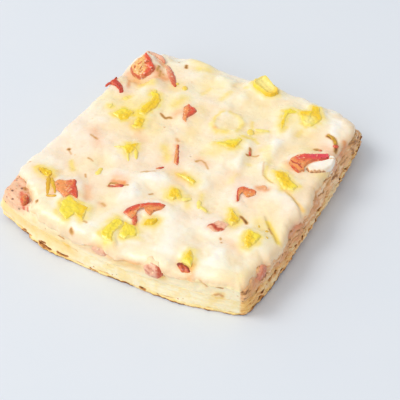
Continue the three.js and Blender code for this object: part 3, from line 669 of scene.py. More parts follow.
stains = {
    # seen from above: radius, strength, line; wash is the broad yellow of fat in the cheese
    "wash": [
        (9, 0.4, [(-26, 26), (-14, 20)]), (9, 0.55, [(-46, 14), (-36, 16)]),
        (7, 0.3, [(-28, 56), (-22, 54)]), (6, 0.45, [(-40, 33), (-30, 36)]),
        (4, 0.6, [(-34, 12), (-40, 10)]), (3, 0.8, [(-31, 12), (-29, 7)]),
        (9, 0.45, [(4, 26), (12, 22)]), (10, 0.35, [(-30, 2), (-18, 4)]),
        (8, 0.3, [(0, 8), (12, 6)]), (9, 0.3, [(26, 44), (34, 36)]),
        (7, 0.35, [(-16, -38), (-12, -46)]), (7, 0.35, [(-34, -30), (-28, -22)]),
        (8, 0.4, [(46, -14), (54, -22)]), (9, 0.35, [(44, 14), (50, 4)]),
        (8, 0.5, [(48, -58), (56, -44)]), (6, 0.3, [(36, 22), (38, 34)]),
        (7, 0.35, [(-42, -52), (-30, -60)]), (7, 0.25, [(10, -20), (20, -22)]),
        (6, 0.3, [(12, -58), (32, -59)]), (10, 0.3, [(-44, 34), (-38, 46)]),
        (6, 0.3, [(20, 12), (28, 4)]),
    ],
    "blush": [
        (9, 0.4, [(-52, -22), (-52, -8)]), (10, 0.3, [(-40, -28), (-36, -2)]),
        (9, 0.35, [(-22, -18), (-14, -2)]), (8, 0.3, [(-30, -36), (-14, -34)]),
        (7, 0.45, [(-10, -10), (-4, 2)]), (7, 0.4, [(52, -12), (53, 10), (50, 28)]),
        (7, 0.5, [(-46, 22), (-44, 34)]), (6, 0.5, [(-34, 30), (-30, 40)]),
        (8, 0.35, [(-14, 12), (-6, 26)]), (5, 0.4, [(18, -30), (24, -26)]),
        (6, 0.35, [(30, -12), (38, -12)]), (5, 0.5, [(48, 24), (44, 34)]),
        (6, 0.5, [(-52, -44), (-46, -42)]),
    ],
    "yellow": [
        (3.0, 1.0, [(-31.6, 11.6), (-34, 9.4)]), (2.4, 1.0, [(-30.4, 12), (-29.2, 8)]),
        (1.8, 0.8, [(-30.4, 11), (-29.4, 7)]), (1.6, 0.8, [(27, 48), (32, 48)]),
        (1.2, 0.6, [(-40, -42), (-37, -47)]), (0.9, 0.5, [(13, 32), (15, 28)]),
        (0.8, 0.5, [(17, 23), (22, 20.4)]), (1.2, 1.0, [(47.5, -18.6), (51.5, -22), (55.6, -25.5)]),
        (1.8, 0.55, [(3, 19), (7, 20)]), (2.4, 0.5, [(-11, -1.4), (-6, -7)]),
        (1.5, 0.35, [(23.6, -1.4), (23.6, -5.3)]), (2.0, 0.5, [(-6, 38), (-5, 44)]),
        (2.5, 0.5, [(-26, 53), (-22, 54)]), (1.6, 0.45, [(-15.5, 38), (-14, 43)]),
        (1.3, 0.6, [(-40, -28.6), (-36.4, -32.4)]), (2, 0.6, [(-45.6, 9.2), (-44, 9)]),
        (1.8, 0.6, [(-42.7, 17), (-42, 19)]), (3, 0.6, [(-41.4, 29), (-38, 31)]),
        (1.4, 0.4, [(25, 18), (27, 18.5)]), (1.2, 0.4, [(25, 7)]),
        (1.4, 0.5, [(-0.6, 51), (0.4, 51)]), (1.4, 0.4, [(33.9, 33.6), (33.9, 37)]),
        (3, 0.45, [(-21, 24), (-20, 30)]), (1.6, 0.5, [(17, 26), (22, 30)]),
        (1.3, 0.7, [(14.5, 20.5), (19, 22)]), (1.3, 0.55, [(-1, 31), (-2, 26), (-1, 21), (3, 18)]),
        (1.3, 0.5, [(2, 32), (7, 31.5), (10.4, 28), (10.4, 23)]), (5, 0.3, [(-27, 36)]),
        (4, 0.3, [(-10, 27)]), (4, 0.3, [(-27, 19)]), (5, 0.3, [(44, 27)]), (5, 0.3, [(52, 18)]),
        (4, 0.25, [(-27, -44)]), (7, 0.3, [(-16, 44), (-10, 47)]), (6, 0.25, [(-38, 14), (-36, 4)]),
        (7, 0.2, [(3, 44), (14, 40)]), (4, 0.3, [(-30, 57), (-22, 55)]),
        (2.2, 0.4, [(27, 20), (31, 12)]), (6, 0.25, [(24, 44), (34, 40)]),
        (3, 0.35, [(44, -20), (50, -27)]), (2.5, 0.3, [(39, 14), (40, 10)]),
        (5, 0.2, [(-26, 12), (-20, 6)]), (1.0, 0.5, [(32, 10), (34, 4), (38, 2)]),
        (1.0, 0.5, [(44, 0.6), (56, -5)]), (1.5, 0.4, [(13, -22), (15.5, -27)]),
        (1.2, 0.45, [(17, -18), (20, -24), (24, -25.5)]), (4, 0.2, [(-8, 20), (-6, 8)]),
        (3, 0.3, [(10, 8), (6, 4)]), (4, 0.2, [(-50, 27), (-47, 31)]),
    ],
    "orange": [
        (1.6, 0.9, [(-18, -29.5), (-13.5, -29)]), (2.6, 0.35, [(-19, -26.5), (-14.5, -27.5)]),
        (1.2, 0.5, [(1.4, 19.6)]), (0.9, 0.6, [(-48.9, 29.6), (-46.4, 24.6)]),
        (2.2, 0.5, [(-39, 37), (-35, 40)]), (1.5, 0.7, [(35, -4), (38.6, -3)]),
        (1.2, 0.8, [(0.7, -42.4), (3.2, -47)]), (3, 0.4, [(-52, 34), (-46, 31)]),
        (2.6, 0.7, [(-42.4, 41), (-38.6, 39.4), (-35.4, 38.4)]), (1.6, 0.5, [(-44, 47), (-40, 46)]),
        (0.8, 0.25, [(45, 0.2), (56, -5)]), (2.2, 0.4, [(-18, 19), (-15, 23)]),
        (2.0, 0.4, [(-41, -42), (-35, -48)]), (2.2, 0.4, [(-22, -43), (-25, -38)]),
        (1.4, 0.35, [(-16, -43), (-14, -44)]), (1.4, 0.4, [(-8.5, 5)]),
        (3, 0.3, [(-42, -8), (-36, -14)]), (2.4, 0.3, [(5, -1), (10, -2)]),
        (3, 0.2, [(38, -36), (43, -38)]), (2.5, 0.35, [(48, 33), (52, 30)]),
        (1.5, 0.8, [(53, 41), (54.6, 39)]), (1.3, 0.6, [(55.4, 31), (55, 28.6)]),
        (1.2, 0.5, [(54.6, 47), (55.4, 43)]), (2, 0.4, [(38, 16), (42, 13)]),
        (1.6, 0.6, [(33, -54), (35, -57)]), (3, 0.22, [(-30, 4), (-22, -2)]),
        (4, 0.2, [(6, -16), (0, -10)]), (4, 0.18, [(22, 0), (28, -8)]),
    ],
    "brown": [
        (0.7, 0.25, [(48, -19), (51.5, -22.4), (55, -25.4)]),
        (0.6, 0.7, [(-41.6, 43.6), (-41, 40.6)]), (0.6, 0.6, [(-39.4, 41), (-38.6, 38.6)]),
        (0.6, 0.5, [(-43.4, 39)]), (0.6, 0.6, [(-37.6, 40.4)]),
        (0.6, 0.8, [(-38.6, -54.4), (-37.6, -55.6)]),
        (0.5, 0.8, [(-18.6, -32.6), (-19, -30.6), (-16, -30)]),
        (0.45, 0.7, [(-13.4, -30), (-11, -29.6)]), (0.9, 0.9, [(-45.4, -22.5)]),
        (0.5, 0.45, [(-44.8, -23.2), (-42.6, -24.8)]), (0.55, 0.5, [(-35, -23.3), (-32.6, -23.7)]),
        (0.8, 0.45, [(-15, -42.6), (-13, -43.6)]), (0.9, 0.8, [(-17.4, -61), (-16.4, -61.6)]),
        (0.6, 0.6, [(-54, -38.2)]), (0.5, 0.5, [(-54.8, 8.3)]),
        (0.55, 0.6, [(-37, 56), (-37.6, 54), (-36.6, 52.6)]),
        (0.8, 0.8, [(-32.2, 51.8), (-31.4, 50.2)]), (0.6, 0.45, [(-15.1, -55.4), (-13.6, -55.6)]),
        (0.5, 0.8, [(36, -36)]), (0.5, 0.7, [(37.4, -37.8)]),
        (0.5, 0.6, [(54, 40.4), (55.6, 40.2)]),
        (0.5, 0.8, [(52.4, 58), (54.2, 53), (54.8, 48), (55.4, 44)]),
        (1.0, 0.9, [(45.2, 40), (48.4, 39.4), (50.8, 36.6), (52, 33.6)]),
        (0.8, 0.7, [(44, 30), (46.6, 30.4)]),
        (0.6, 0.8, [(20.9, 15.6), (22.2, 13.4), (21.6, 11.6)]),
        (0.5, 0.5, [(22.2, 12.4), (25.6, 14.4)]),
        (0.7, 0.95, [(36.7, -21.2), (38.6, -22), (40.6, -23.4)]),
        (0.5, 0.6, [(49, -20.6), (51.5, -23)]),
        (0.5, 0.5, [(5, -2.8), (6.5, -1.1), (9, -1.6), (11.5, -3.8)]),
        (0.6, 0.5, [(-41.9, -11.2), (-38, -12)]),
        (0.7, 0.75, [(-23.6, 16.2), (-21, 15), (-18.8, 16.4)]), (0.5, 0.6, [(-18, 9.8)]),
        (0.5, 0.3, [(30, 10.8), (33, 4), (36, 2.6), (39, 1.8)]), (0.8, 0.3, [(-9.4, 6), (-8, 4.6)]),
        (0.6, 0.5, [(-11, -19.8), (-6, -17)]), (0.5, 0.5, [(-1.2, -29.2), (0, -28.2)]),
        (0.5, 0.5, [(-30.6, -31.8), (-29.6, -33)]), (0.6, 0.4, [(-18.9, -32.8), (-16.6, -32.6)]),
    ],
}
faceStains = {
    # on the front cut: radius, strength, line of (x, z)
    "frontGold": [
        (5, 0.55, [(-54, 8), (-18, 7)]), (2.5, 0.6, [(-50, 4)]), (2.6, 0.7, [(-36.4, 12)]),
        (3, 0.6, [(-31, 9.6), (-24, 10)]), (2.2, 1.0, [(-21.5, 9.6), (-19, 8.4)]),
        (1.4, 0.6, [(-15, 8)]), (1.8, 1.0, [(22, 11.6), (24.2, 12)]),
        (1.1, 1.0, [(44, 9.4), (45.8, 11.4), (47.8, 11.4), (47.4, 9.2), (45.2, 8.8)]),
        (3.4, 0.5, [(45, 9)]), (1.5, 0.5, [(38, 15), (41, 13.4)]),
        (2.2, 0.6, [(3, 10.6), (9, 12.8), (14, 13.4)]), (2, 0.4, [(33, 15), (35, 13)]),
    ],
    "frontBrown": [
        (0.6, 1.0, [(-44.9, 0.6), (-39.2, 0.7)]), (0.6, 1.0, [(-44.2, 1.7), (-42, 2.6)]),
        (0.5, 1.0, [(-32.6, 2.8), (-30.8, 3.1)]), (0.8, 1.0, [(-33.4, 1.9), (-30.6, 1.5)]),
        (0.6, 1.0, [(-29.6, 1.4), (-27.6, 1.7)]), (0.7, 1.0, [(-24, 2.1), (-22.4, 1.8)]),
        (0.6, 1.0, [(-21.6, 1.7), (-19.6, 2.2)]), (0.5, 0.6, [(-7, 3.2)]),
        (0.3, 0.8, [(-8.9, 1.2), (-5, 1)]), (0.35, 0.7, [(-0.7, 2.8)]),
        (0.5, 1.0, [(-0.4, 0.6), (8.8, 0.7)]), (0.4, 0.6, [(1.6, 2.9)]),
        (0.8, 0.9, [(14.1, 1.8), (15.8, 1.4)]), (0.4, 0.6, [(21.4, 1.8), (22.1, 1.0)]),
        (0.8, 0.6, [(44.8, 10), (46.2, 10.8), (47.6, 10)]), (0.45, 1.0, [(21.7, 0.5), (32.4, 0.4)]),
        (0.4, 0.6, [(30.1, 2.6)]), (0.3, 0.6, [(32.1, 3.4)]),
        (0.45, 1.0, [(40.9, 0.7), (42.5, 0.6)]), (0.3, 0.5, [(49.1, 0.8)]),
        (0.4, 0.5, [(51.4, 13.6)]), (0.35, 0.9, [(53.2, 11.8)]),
        (0.6, 0.9, [(45.4, 14.6), (47.4, 14.8)]), (0.7, 0.5, [(38.6, 16.4), (41.6, 13.8)]),
        (0.5, 0.5, [(-30.4, 11.7)]), (0.5, 0.7, [(-23.5, 11.8), (-21, 11.4)]),
        (0.35, 0.25, [(-20, 11), (-14.2, 7.8)]), (0.6, 0.4, [(3, 12.2), (9.5, 14.8), (14.4, 15.6)]),
        (0.5, 0.7, [(24.6, 13)]),
    ],
    # on the right-hand cut: radius, strength, line of (y, z)
    "sideGold": [(3.2, 0.6, [(-50.6, 15), (-48.6, 11), (-50.5, 6)]),
                 (0.9, 0.6, [(-52, 3.2), (-43, 2.1), (-34, 3)])],
    "sideRose": [
        (2.6, 0.5, [(-50.6, 15), (-48.6, 11)]), (1.2, 1.0, [(26, 15.6), (30, 16.4)]),
        (2.0, 0.8, [(34, 17), (40, 16)]), (0.7, 1.0, [(-51.9, 17.6)]), (0.8, 0.9, [(-51.4, 14.5)]),
        (3.0, 0.6, [(-47, 13), (-40, 13)]), (2.4, 0.5, [(-13, 9), (-7, 12)]),
        (3.0, 0.9, [(-17, 15), (-10, 15)]), (1.6, 0.9, [(34, 16.5), (36, 14.5)]),
        (1.6, 0.9, [(24.5, 17), (27, 14.5)]), (1.3, 1.0, [(38.5, 16.4), (43.5, 15.2)]),
        (2.5, 0.5, [(3, 13), (8, 13)]), (2.5, 0.4, [(-30, 10), (-22, 9)]),
    ],
    "sideBrown": [
        (2.4, 0.45, [(46, 12.4), (57, 9)]), (1.0, 0.9, [(49, 7), (58, 5)]),
        (0.9, 0.9, [(46, 12.6), (53, 11.6)]), (0.8, 1.0, [(43.7, 14.6), (49, 13)]),
        (0.8, 1.0, [(43.8, 12.6), (46, 10)]), (0.9, 0.8, [(38.1, 16)]),
        (0.6, 1.0, [(50, 9.6), (58, 8.2)]), (0.5, 1.0, [(53, 13.4), (60, 11)]),
        (0.6, 0.9, [(33, 12), (40, 11)]), (0.8, 0.8, [(54, 15), (47, 15.4), (44, 14)]),
        (0.6, 1.0, [(47, 0.9), (44, 1.0)]), (0.6, 1.0, [(37.5, 0.9), (35, 1.0)]),
        (0.6, 0.9, [(31.4, 1.0), (29.4, 0.9)]), (0.7, 1.0, [(15.4, 0.9), (13, 1.1)]),
        (0.6, 0.9, [(10.5, 0.9), (9, 0.8)]), (0.7, 1.0, [(2, 1.1), (-0.5, 0.8)]),
        (0.8, 1.0, [(-5.4, 1.0), (-7.5, 1.2)]), (0.6, 1.0, [(-9.4, 0.8), (-10.6, 0.9)]),
        (0.7, 1.0, [(-14.6, 1.0), (-17, 0.9)]), (0.8, 0.9, [(-20, 2.0)]),
        (0.6, 1.0, [(-22.4, 0.9), (-24.6, 0.7)]), (0.6, 1.0, [(-27.4, 0.8), (-29, 1.0)]),
        (0.6, 0.8, [(-34.8, 0.9), (-36.2, 0.9)]), (0.7, 1.0, [(-40, 1.0), (-41.8, 0.8)]),
        (0.5, 0.7, [(-47, 0.8), (-49, 0.7)]), (0.7, 0.7, [(20, 14), (16, 13)]),
        (0.7, 0.7, [(8, 15), (3, 12.6)]), (0.8, 0.9, [(-16, 2.4), (-18, 2.2)]),
    ],
}


def sideOf(x, y):
    # how much a point of the cut belongs to the right-hand and the front cut, 0 to 1, from its
    # distance to the two cut lines
    corner, bows = slicePlan["corners"]["frontRight"], slicePlan["bows"]
    frontY, frontHalf = slicePlan["frontLine"]
    rightGap = corner[0] + bows["right"] * (1 - np.clip(y / slicePlan["halfWidth"], -1, 1) ** 2) - x
    frontGap = y - frontY + bows["front"] * (1 - np.clip(x / frontHalf, -1, 1) ** 2)
    right = easeStep(-0.6, 0.6, frontGap - rightGap) * easeStep(13, 9, rightGap)
    front = easeStep(13, 9, frontGap) * (1 - right)
    return right, front


def facePaint(x, y, z, right, front):  # gold, rose and brown marks of the two cuts that show
    gold = np.maximum(front * softLines(x, z, faceStains["frontGold"]),
                      right * softLines(y, z, faceStains["sideGold"]))
    rose = right * softLines(y, z, faceStains["sideRose"])
    brown = np.maximum(front * softLines(x, z, faceStains["frontBrown"]),
                       right * softLines(y, z, faceStains["sideBrown"]))
    return gold, rose, brown


def cheeseField(x, y):
    # height and stains of the cheese at x, y: near the bits the height is drawn to their own
    # levels, the nearer bit counting more (1 / distance^2), and drops under each of them; each
    # bit stains the cheese round it by a bell curve
    height = openCheese(x, y)
    wander = 0.4 * latticeNoise(flat(x, y) / 2.0, 60)
    broad = 3.0 * latticeNoise(flat(x, y) / 9.0, 63)
    tints = {}
    for key, lines in stains.items():
        move = broad if key in ("wash", "blush") else wander
        strength = 1.3 if key in ("yellow", "orange") else 1.0
        tints[key] = strength * softLines(x + move, y - move, lines)
    weighted, pull = np.zeros(height.shape), np.zeros(height.shape)
    weights = np.full(height.shape, 1e-9)
    hidden = []
    for name in bits:
        outline, _, border = bitPlace(name)
        reach = 7.0
        low, high = outline.min(0) - reach, outline.max(0) + reach
        near = (x > low[0]) & (x < high[0]) & (y > low[1]) & (y < high[1])
        if not near.any():
            continue
        px, py = x[near], y[near]
        outlineGap = signedDistance(np.stack([px, py], -1), outline)
        outside = np.maximum(outlineGap + 0.35 * latticeNoise(flat(px, py) / 2.0, 61), 0)
        tiltX, tiltY = bits[name].get("tilt", (0, 0))
        middle = outline.mean(0)
        level = border + ((px - middle[0]) * tiltX + (py - middle[1]) * tiltY)
        weight = np.exp(-(outside / 3.0) ** 2) / (outside ** 2 + 0.05)
        weighted[near] += weight * level
        weights[near] += weight
        pull[near] = np.maximum(pull[near], np.exp(-(outside / 3.0) ** 2))
        hidden.append((near, easeStep(-0.7, -1.3, outlineGap), level - 1.6))
        tint = 0.5 + 0.5 * latticeNoise(flat(px, py) / 3.0, 62)
        if name.startswith("yellow"):
            halos = {"yellow": (1.7, 0.55 + 0.4 * tint), "wash": (4.5, 0.6 * tint)}
        else:
            halos = {} if name.startswith("white") else {"orange": (1.4, 0.4 * tint)}
        for key, (radius, strength) in halos.items():
            halo = np.exp(-(outside / radius) ** 2) * strength
            tints[key][near] = np.maximum(tints[key][near], halo)
    height = mixed(height, weighted / weights, pull)
    for near, under, floorLevel in hidden:
        height[near] = mixed(height[near], np.minimum(height[near], floorLevel), under)
    return height, tints


def newGroup(name, inputs, outputs):
    # inputs are names and first values, a colour where it is a tuple; the output called Color
    # is a colour, the others are numbers
    group = bpy.data.node_groups.new(name, "ShaderNodeTree")
    for socketName, value in inputs.items():
        kind = "NodeSocketColor" if isinstance(value, tuple) else "NodeSocketFloat"
        socket = group.interface.new_socket(socketName, in_out="INPUT", socket_type=kind)
        socket.default_value = value
    for socketName in outputs:
        kind = "NodeSocketColor" if socketName == "Color" else "NodeSocketFloat"
        group.interface.new_socket(socketName, in_out="OUTPUT", socket_type=kind)
    start = group.nodes.new("NodeGroupInput")
    end = group.nodes.new("NodeGroupOutput")
    return group, start.outputs, end.inputs


def addNode(tree, kind, values=None, links=None, **settings):
    # a node with its settings, plain values and links to other nodes' sockets
    node = tree.nodes.new(kind)
    for key, value in settings.items():
        setattr(node, key, value)
    for socket, value in (values or {}).items():
        node.inputs[socket].default_value = value
    for socket, source in (links or {}).items():
        tree.links.new(source, node.inputs[socket])
    return node


def linear(red, green, blue):  # a screen colour, 0 to 255, as the renderer's linear colour
    parts = [part / 255 for part in (red, green, blue)]
    return tuple(p / 12.92 if p <= 0.04045 else ((p + 0.055) / 1.055) ** 2.4 for p in parts) + (1.0,)


def inLinear(look):  # a look whose screen colours, its groups of three, are made linear
    return {key: linear(*value) if isinstance(value, tuple) and len(value) == 3 else value
            for key, value in look.items()}


def mixColor(tree, factor, first, second):
    # first and second are sockets or colours
    node = addNode(tree, "ShaderNodeMix", links={"Factor": factor}, data_type="RGBA")
    for index, value in ((6, first), (7, second)):
        if isinstance(value, tuple):
            node.inputs[index].default_value = value
        else:
            tree.links.new(value, node.inputs[index])
    return node.outputs[2]


def mathNode(tree, operation, first, second):
    node = addNode(tree, "ShaderNodeMath", operation=operation)
    for index, value in enumerate((first, second)):
        if isinstance(value, (int, float)):
            node.inputs[index].default_value = value
        else:
            tree.links.new(value, node.inputs[index])
    return node.outputs[0]


def scaled(tree, value, factor):
    return mathNode(tree, "MULTIPLY", value, factor)


def rangeNode(tree, value, low, high):  # low..high of the value spread over 0..1, eased
    node = addNode(tree, "ShaderNodeMapRange", links={"Value": value}, interpolation_type="SMOOTHSTEP")
    for socket, limit in (("From Min", low), ("From Max", high)):
        if isinstance(limit, float):
            node.inputs[socket].default_value = limit
        else:
            tree.links.new(limit, node.inputs[socket])
    return node.outputs["Result"]


def groupPlace(group, start):  # the object's own coordinates, and cells per metre
    place = addNode(group, "ShaderNodeTexCoord").outputs["Object"]
    return place, mathNode(group, "DIVIDE", 1000.0, start["Cell"])


def makeMottleGroup():
    # two sizes of cloud noise added, as a mask from 0 to 1 and as a blend of two colours
    group, start, end = newGroup("softMottle", {
        "Cell": 3.0, "Low": 0.4, "High": 0.6, "Pale": (1, 1, 1, 1), "Deep": (0, 0, 0, 1)},
        ["Color", "Mask"])
    place, perMetre = groupPlace(group, start)
    broad = addNode(group, "ShaderNodeTexNoise", {"Detail": 3.0}, {"Vector": place, "Scale": perMetre})
    finer = scaled(group, perMetre, 3.7)
    fine = addNode(group, "ShaderNodeTexNoise", {"Detail": 2.0}, {"Vector": place, "Scale": finer})
    both = mathNode(group, "ADD", scaled(group, broad.outputs[0], 0.7),
                    scaled(group, fine.outputs[0], 0.3))
    mask = rangeNode(group, both, start["Low"], start["High"])
    group.links.new(mixColor(group, mask, start["Pale"], start["Deep"]), end["Color"])
    group.links.new(mask, end["Mask"])
    return group


def makeGrainGroup():
    # height of a fine wet or crumbly surface: cloud noise plus rounded cells
    group, start, end = newGroup("surfaceGrain", {"Cell": 0.8, "Cells Share": 0.5}, ["Height"])
    place, perMetre = groupPlace(group, start)
    cloud = addNode(group, "ShaderNodeTexNoise", {"Detail": 4.0}, {"Vector": place, "Scale": perMetre})
    cells = addNode(group, "ShaderNodeTexVoronoi", {}, {"Vector": place, "Scale": perMetre},
                    feature="SMOOTH_F1")
    height = addNode(group, "ShaderNodeMix", links={
        "Factor": start["Cells Share"], 2: cloud.outputs[0], 3: cells.outputs["Distance"]},
        data_type="FLOAT")
    group.links.new(height.outputs[0], end["Height"])
    return group


def makeSpeckGroup():
    # scattered specks: cells whose distance is small and whose own random value is low
    group, start, end = newGroup("scatteredSpecks", {"Cell": 2.5, "Size": 0.25, "Share": 0.3}, ["Mask"])
    place, perMetre = groupPlace(group, start)
    wobble = addNode(group, "ShaderNodeTexNoise", {"Scale": 1400.0, "Detail": 2.0}, {"Vector": place})
    shift = addNode(group, "ShaderNodeVectorMath", {1: (0.0006, 0.0006, 0.0006)},
                    {0: wobble.outputs["Color"]}, operation="MULTIPLY")
    moved = addNode(group, "ShaderNodeVectorMath", links={0: place, 1: shift.outputs[0]},
                    operation="ADD")
    cells = addNode(group, "ShaderNodeTexVoronoi", {}, {"Vector": moved.outputs[0], "Scale": perMetre})
    near = addNode(group, "ShaderNodeMapRange", {"To Min": 1.0, "To Max": 0.0}, {
        "Value": cells.outputs["Distance"], "From Min": scaled(group, start["Size"], 0.5),
        "From Max": start["Size"]}, interpolation_type="SMOOTHSTEP")
    red = addNode(group, "ShaderNodeSeparateColor", links={0: cells.outputs["Color"]})
    chosen = mathNode(group, "LESS_THAN", red.outputs[0], start["Share"])
    group.links.new(scaled(group, near.outputs["Result"], chosen), end["Mask"])
    return group


def makeScorchGroup():
    # a browned mark in two steps: the half-done colour comes first, the full one lies over it
    group, start, end = newGroup("scorchedMark", {
        "Mark": 0.0, "Under": (1, 1, 1, 1), "Half": (1, 1, 1, 1), "Full": (0, 0, 0, 1),
        "Half From": 0.0, "Half To": 0.5, "Full From": 0.4, "Full To": 0.9}, ["Color"])
    color = start["Under"]
    for step in ("Half", "Full"):
        share = rangeNode(group, start["Mark"], start[step + " From"], start[step + " To"])
        color = mixColor(group, share, color, start[step])
    group.links.new(color, end["Color"])
    return group


mottle = makeMottleGroup()
grain = makeGrainGroup()
specks = makeSpeckGroup()
scorch = makeScorchGroup()


def placeGroup(tree, group, values, links=None):
    return addNode(tree, "ShaderNodeGroup", values, links, node_tree=group)


def markOf(tree, name):  # a value stored on the mesh's points
    return addNode(tree, "ShaderNodeAttribute", attribute_name=name).outputs["Fac"]


def newMaterial(name, settings):
    # a material with one Principled BSDF; settings are plain values on its sockets
    material = bpy.data.materials.new(name)
    material.use_nodes = True
    tree = material.node_tree
    tree.nodes.clear()
    shader = addNode(tree, "ShaderNodeBsdfPrincipled", settings)
    addNode(tree, "ShaderNodeOutputMaterial", links={"Surface": shader.outputs[0]})
    return material, tree, shader


def uneven(tree, value, mask, least):  # the value thinned by a mask down to its least share
    return scaled(tree, value, mathNode(tree, "ADD", least, scaled(tree, mask, 1 - least)))


def paintMarks(tree, under, look, names, mask=None):
    # the colours of marks laid over one another, each thinned to 0.7 by the mask if there is one
    for name in names:
        share = markOf(tree, name)
        if mask is not None:
            share = uneven(tree, share, mask, 0.7)
        under = mixColor(tree, share, under, look[name])
    return under


def scorched(tree, mark, under, half, full, steps):
    # steps: values of the mark between which the half and then the full colour come in
    values = dict(zip(("Half From", "Half To", "Full From", "Full To"), steps), Half=half, Full=full)
    return placeGroup(tree, scorch, values, {"Mark": mark, "Under": under}).outputs["Color"]


def flecked(tree, under, color, cell, size, share, strength):  # specks of a colour laid over
    fleck = placeGroup(tree, specks, {"Cell": cell, "Size": size, "Share": share})
    return mixColor(tree, scaled(tree, fleck.outputs["Mask"], strength), under, color)


def addSurface(tree, shader, look, color, mask):
    # base colour, roughness spread over a mask, and a fine bump
    wet = addNode(tree, "ShaderNodeMapRange", dict(zip(("To Min", "To Max"), look["roughness"])),
                  {"Value": mask})
    cell, cellsShare, depth, strength = look["grain"]
    fine = placeGroup(tree, grain, {"Cell": cell, "Cells Share": cellsShare})
    bump = addNode(tree, "ShaderNodeBump", {"Strength": strength, "Distance": depth * mm},
                   {"Height": fine.outputs["Height"]})
    tree.links.new(color, shader.inputs["Base Color"])
    tree.links.new(wet.outputs["Result"], shader.inputs["Roughness"])
    tree.links.new(bump.outputs[0], shader.inputs["Normal"])


# in every look: screen colours from 0 to 255; roughness at both ends of its mask; grain: cell in
# mm, share of round cells, depth in mm and strength
cheeseLook = {
    # the crest colour is a painted highlight
    "crestHighlight": (255, 250, 240), "body": (255, 243, 222), "warm": (253, 232, 204),
    # the hollow colour is partly painted shade
    "wash": (250, 226, 146), "blush": (252, 220, 196), "hollow": (250, 218, 170),
    # the shade colour is painted shade
    "shade": (249, 218, 176), "dough": (253, 234, 184), "yellow": (246, 216, 60),
    "orange": (236, 152, 78), "gold": (238, 178, 78), "rose": (214, 140, 104),
    "tan": (216, 164, 90), "brown": (122, 74, 22),
    "roughness": (0.22, 0.42), "grain": (2.2, 0.3, 0.14, 0.5),
}


def cheeseMaterial():
    look = inLinear(cheeseLook)
    material, tree, shader = newMaterial("meltedCheese", {
        "Subsurface Weight": 0.4, "Subsurface Radius": (1.0, 0.8, 0.6), "Subsurface Scale": 0.0008,
        "Coat Weight": 0.1, "Coat Roughness": 0.25, "Specular IOR Level": 0.4})
    body = placeGroup(tree, mottle, {"Cell": 10.0, "Low": 0.38, "High": 0.62,
                                     "Pale": look["body"], "Deep": look["warm"]})
    # the crest mark lays a painted highlight on the crests of the relief and on the lit lip
    blush = paintMarks(tree, body.outputs["Color"], look, ("crestHighlight", "wash", "blush"))
    # hollow: a darker, warmer colour in the hollows of the relief, partly thinner cheese over the sauce
    # and partly painted shade
    hollow = mixColor(tree, scaled(tree, markOf(tree, "hollow"), 0.7), blush, look["hollow"])
    # the shade mark is painted shade
    dough = paintMarks(tree, hollow, look, ("shade", "dough"))
    mask = placeGroup(tree, mottle, {"Cell": 2.4, "Low": 0.3, "High": 0.7}).outputs["Mask"]
    stained = paintMarks(tree, dough, look, ("yellow", "orange", "gold", "rose"), mask)
    browned = uneven(tree, markOf(tree, "brown"), mask, 0.7)
    burnt = scorched(tree, browned, stained, look["tan"], look["brown"], (0.0, 0.5, 0.3, 0.85))
    last = flecked(tree, burnt, look["gold"], 6.0, 0.1, 0.22, 0.35)
    addSurface(tree, shader, look, last, mask)
    return material


crustLook = {
    "dough": (255, 243, 208), "crumb": (252, 230, 172), "skin": (250, 220, 142),
    "tan": (248, 200, 138), "light": (255, 232, 190), "gold": (246, 204, 112),
    "rose": (226, 140, 104), "toast": (206, 140, 74), "brown": (100, 54, 20),
    "roughness": (0.58, 0.82), "grain": (0.7, 0.6, 0.18, 0.7),
}


def crustMaterial():
    look = inLinear(crustLook)
    material, tree, shader = newMaterial("bakedDough", {
        "Subsurface Weight": 0.15, "Subsurface Radius": (1.0, 0.6, 0.3), "Subsurface Scale": 0.0015,
        "Specular IOR Level": 0.3})
    dough = placeGroup(tree, mottle, {"Cell": 4.5, "Low": 0.4, "High": 0.66,
                                      "Pale": look["dough"], "Deep": look["crumb"]})
    rose = paintMarks(tree, dough.outputs["Color"], look, ("skin", "tan", "light", "gold", "rose"))
    mask = placeGroup(tree, mottle, {"Cell": 1.1, "Low": 0.3, "High": 0.62}).outputs["Mask"]
    toast = uneven(tree, markOf(tree, "toast"), mask, 0.5)
    brown = scorched(tree, toast, rose, look["toast"], look["brown"], (0.08, 0.45, 0.42, 0.9))
    last = flecked(tree, brown, look["brown"], 3.4, 0.12, 0.18, 0.35)
    addSurface(tree, shader, look, last, mask)
    return material


sauceLook = {
    "cream": (252, 226, 176), "dough": (255, 241, 204), "peach": (244, 196, 138),
    "tan": (242, 188, 134), "light": (255, 230, 192), "bare": (243, 197, 164),
    "red": (228, 108, 76), "deep": (172, 30, 20), "gold": (246, 208, 116),
    "rose": (218, 128, 96), "toast": (214, 156, 92), "brown": (120, 66, 28), "herb": (96, 40, 24),
    "roughness": (0.34, 0.6), "grain": (1.1, 0.5, 0.3, 0.8),
}


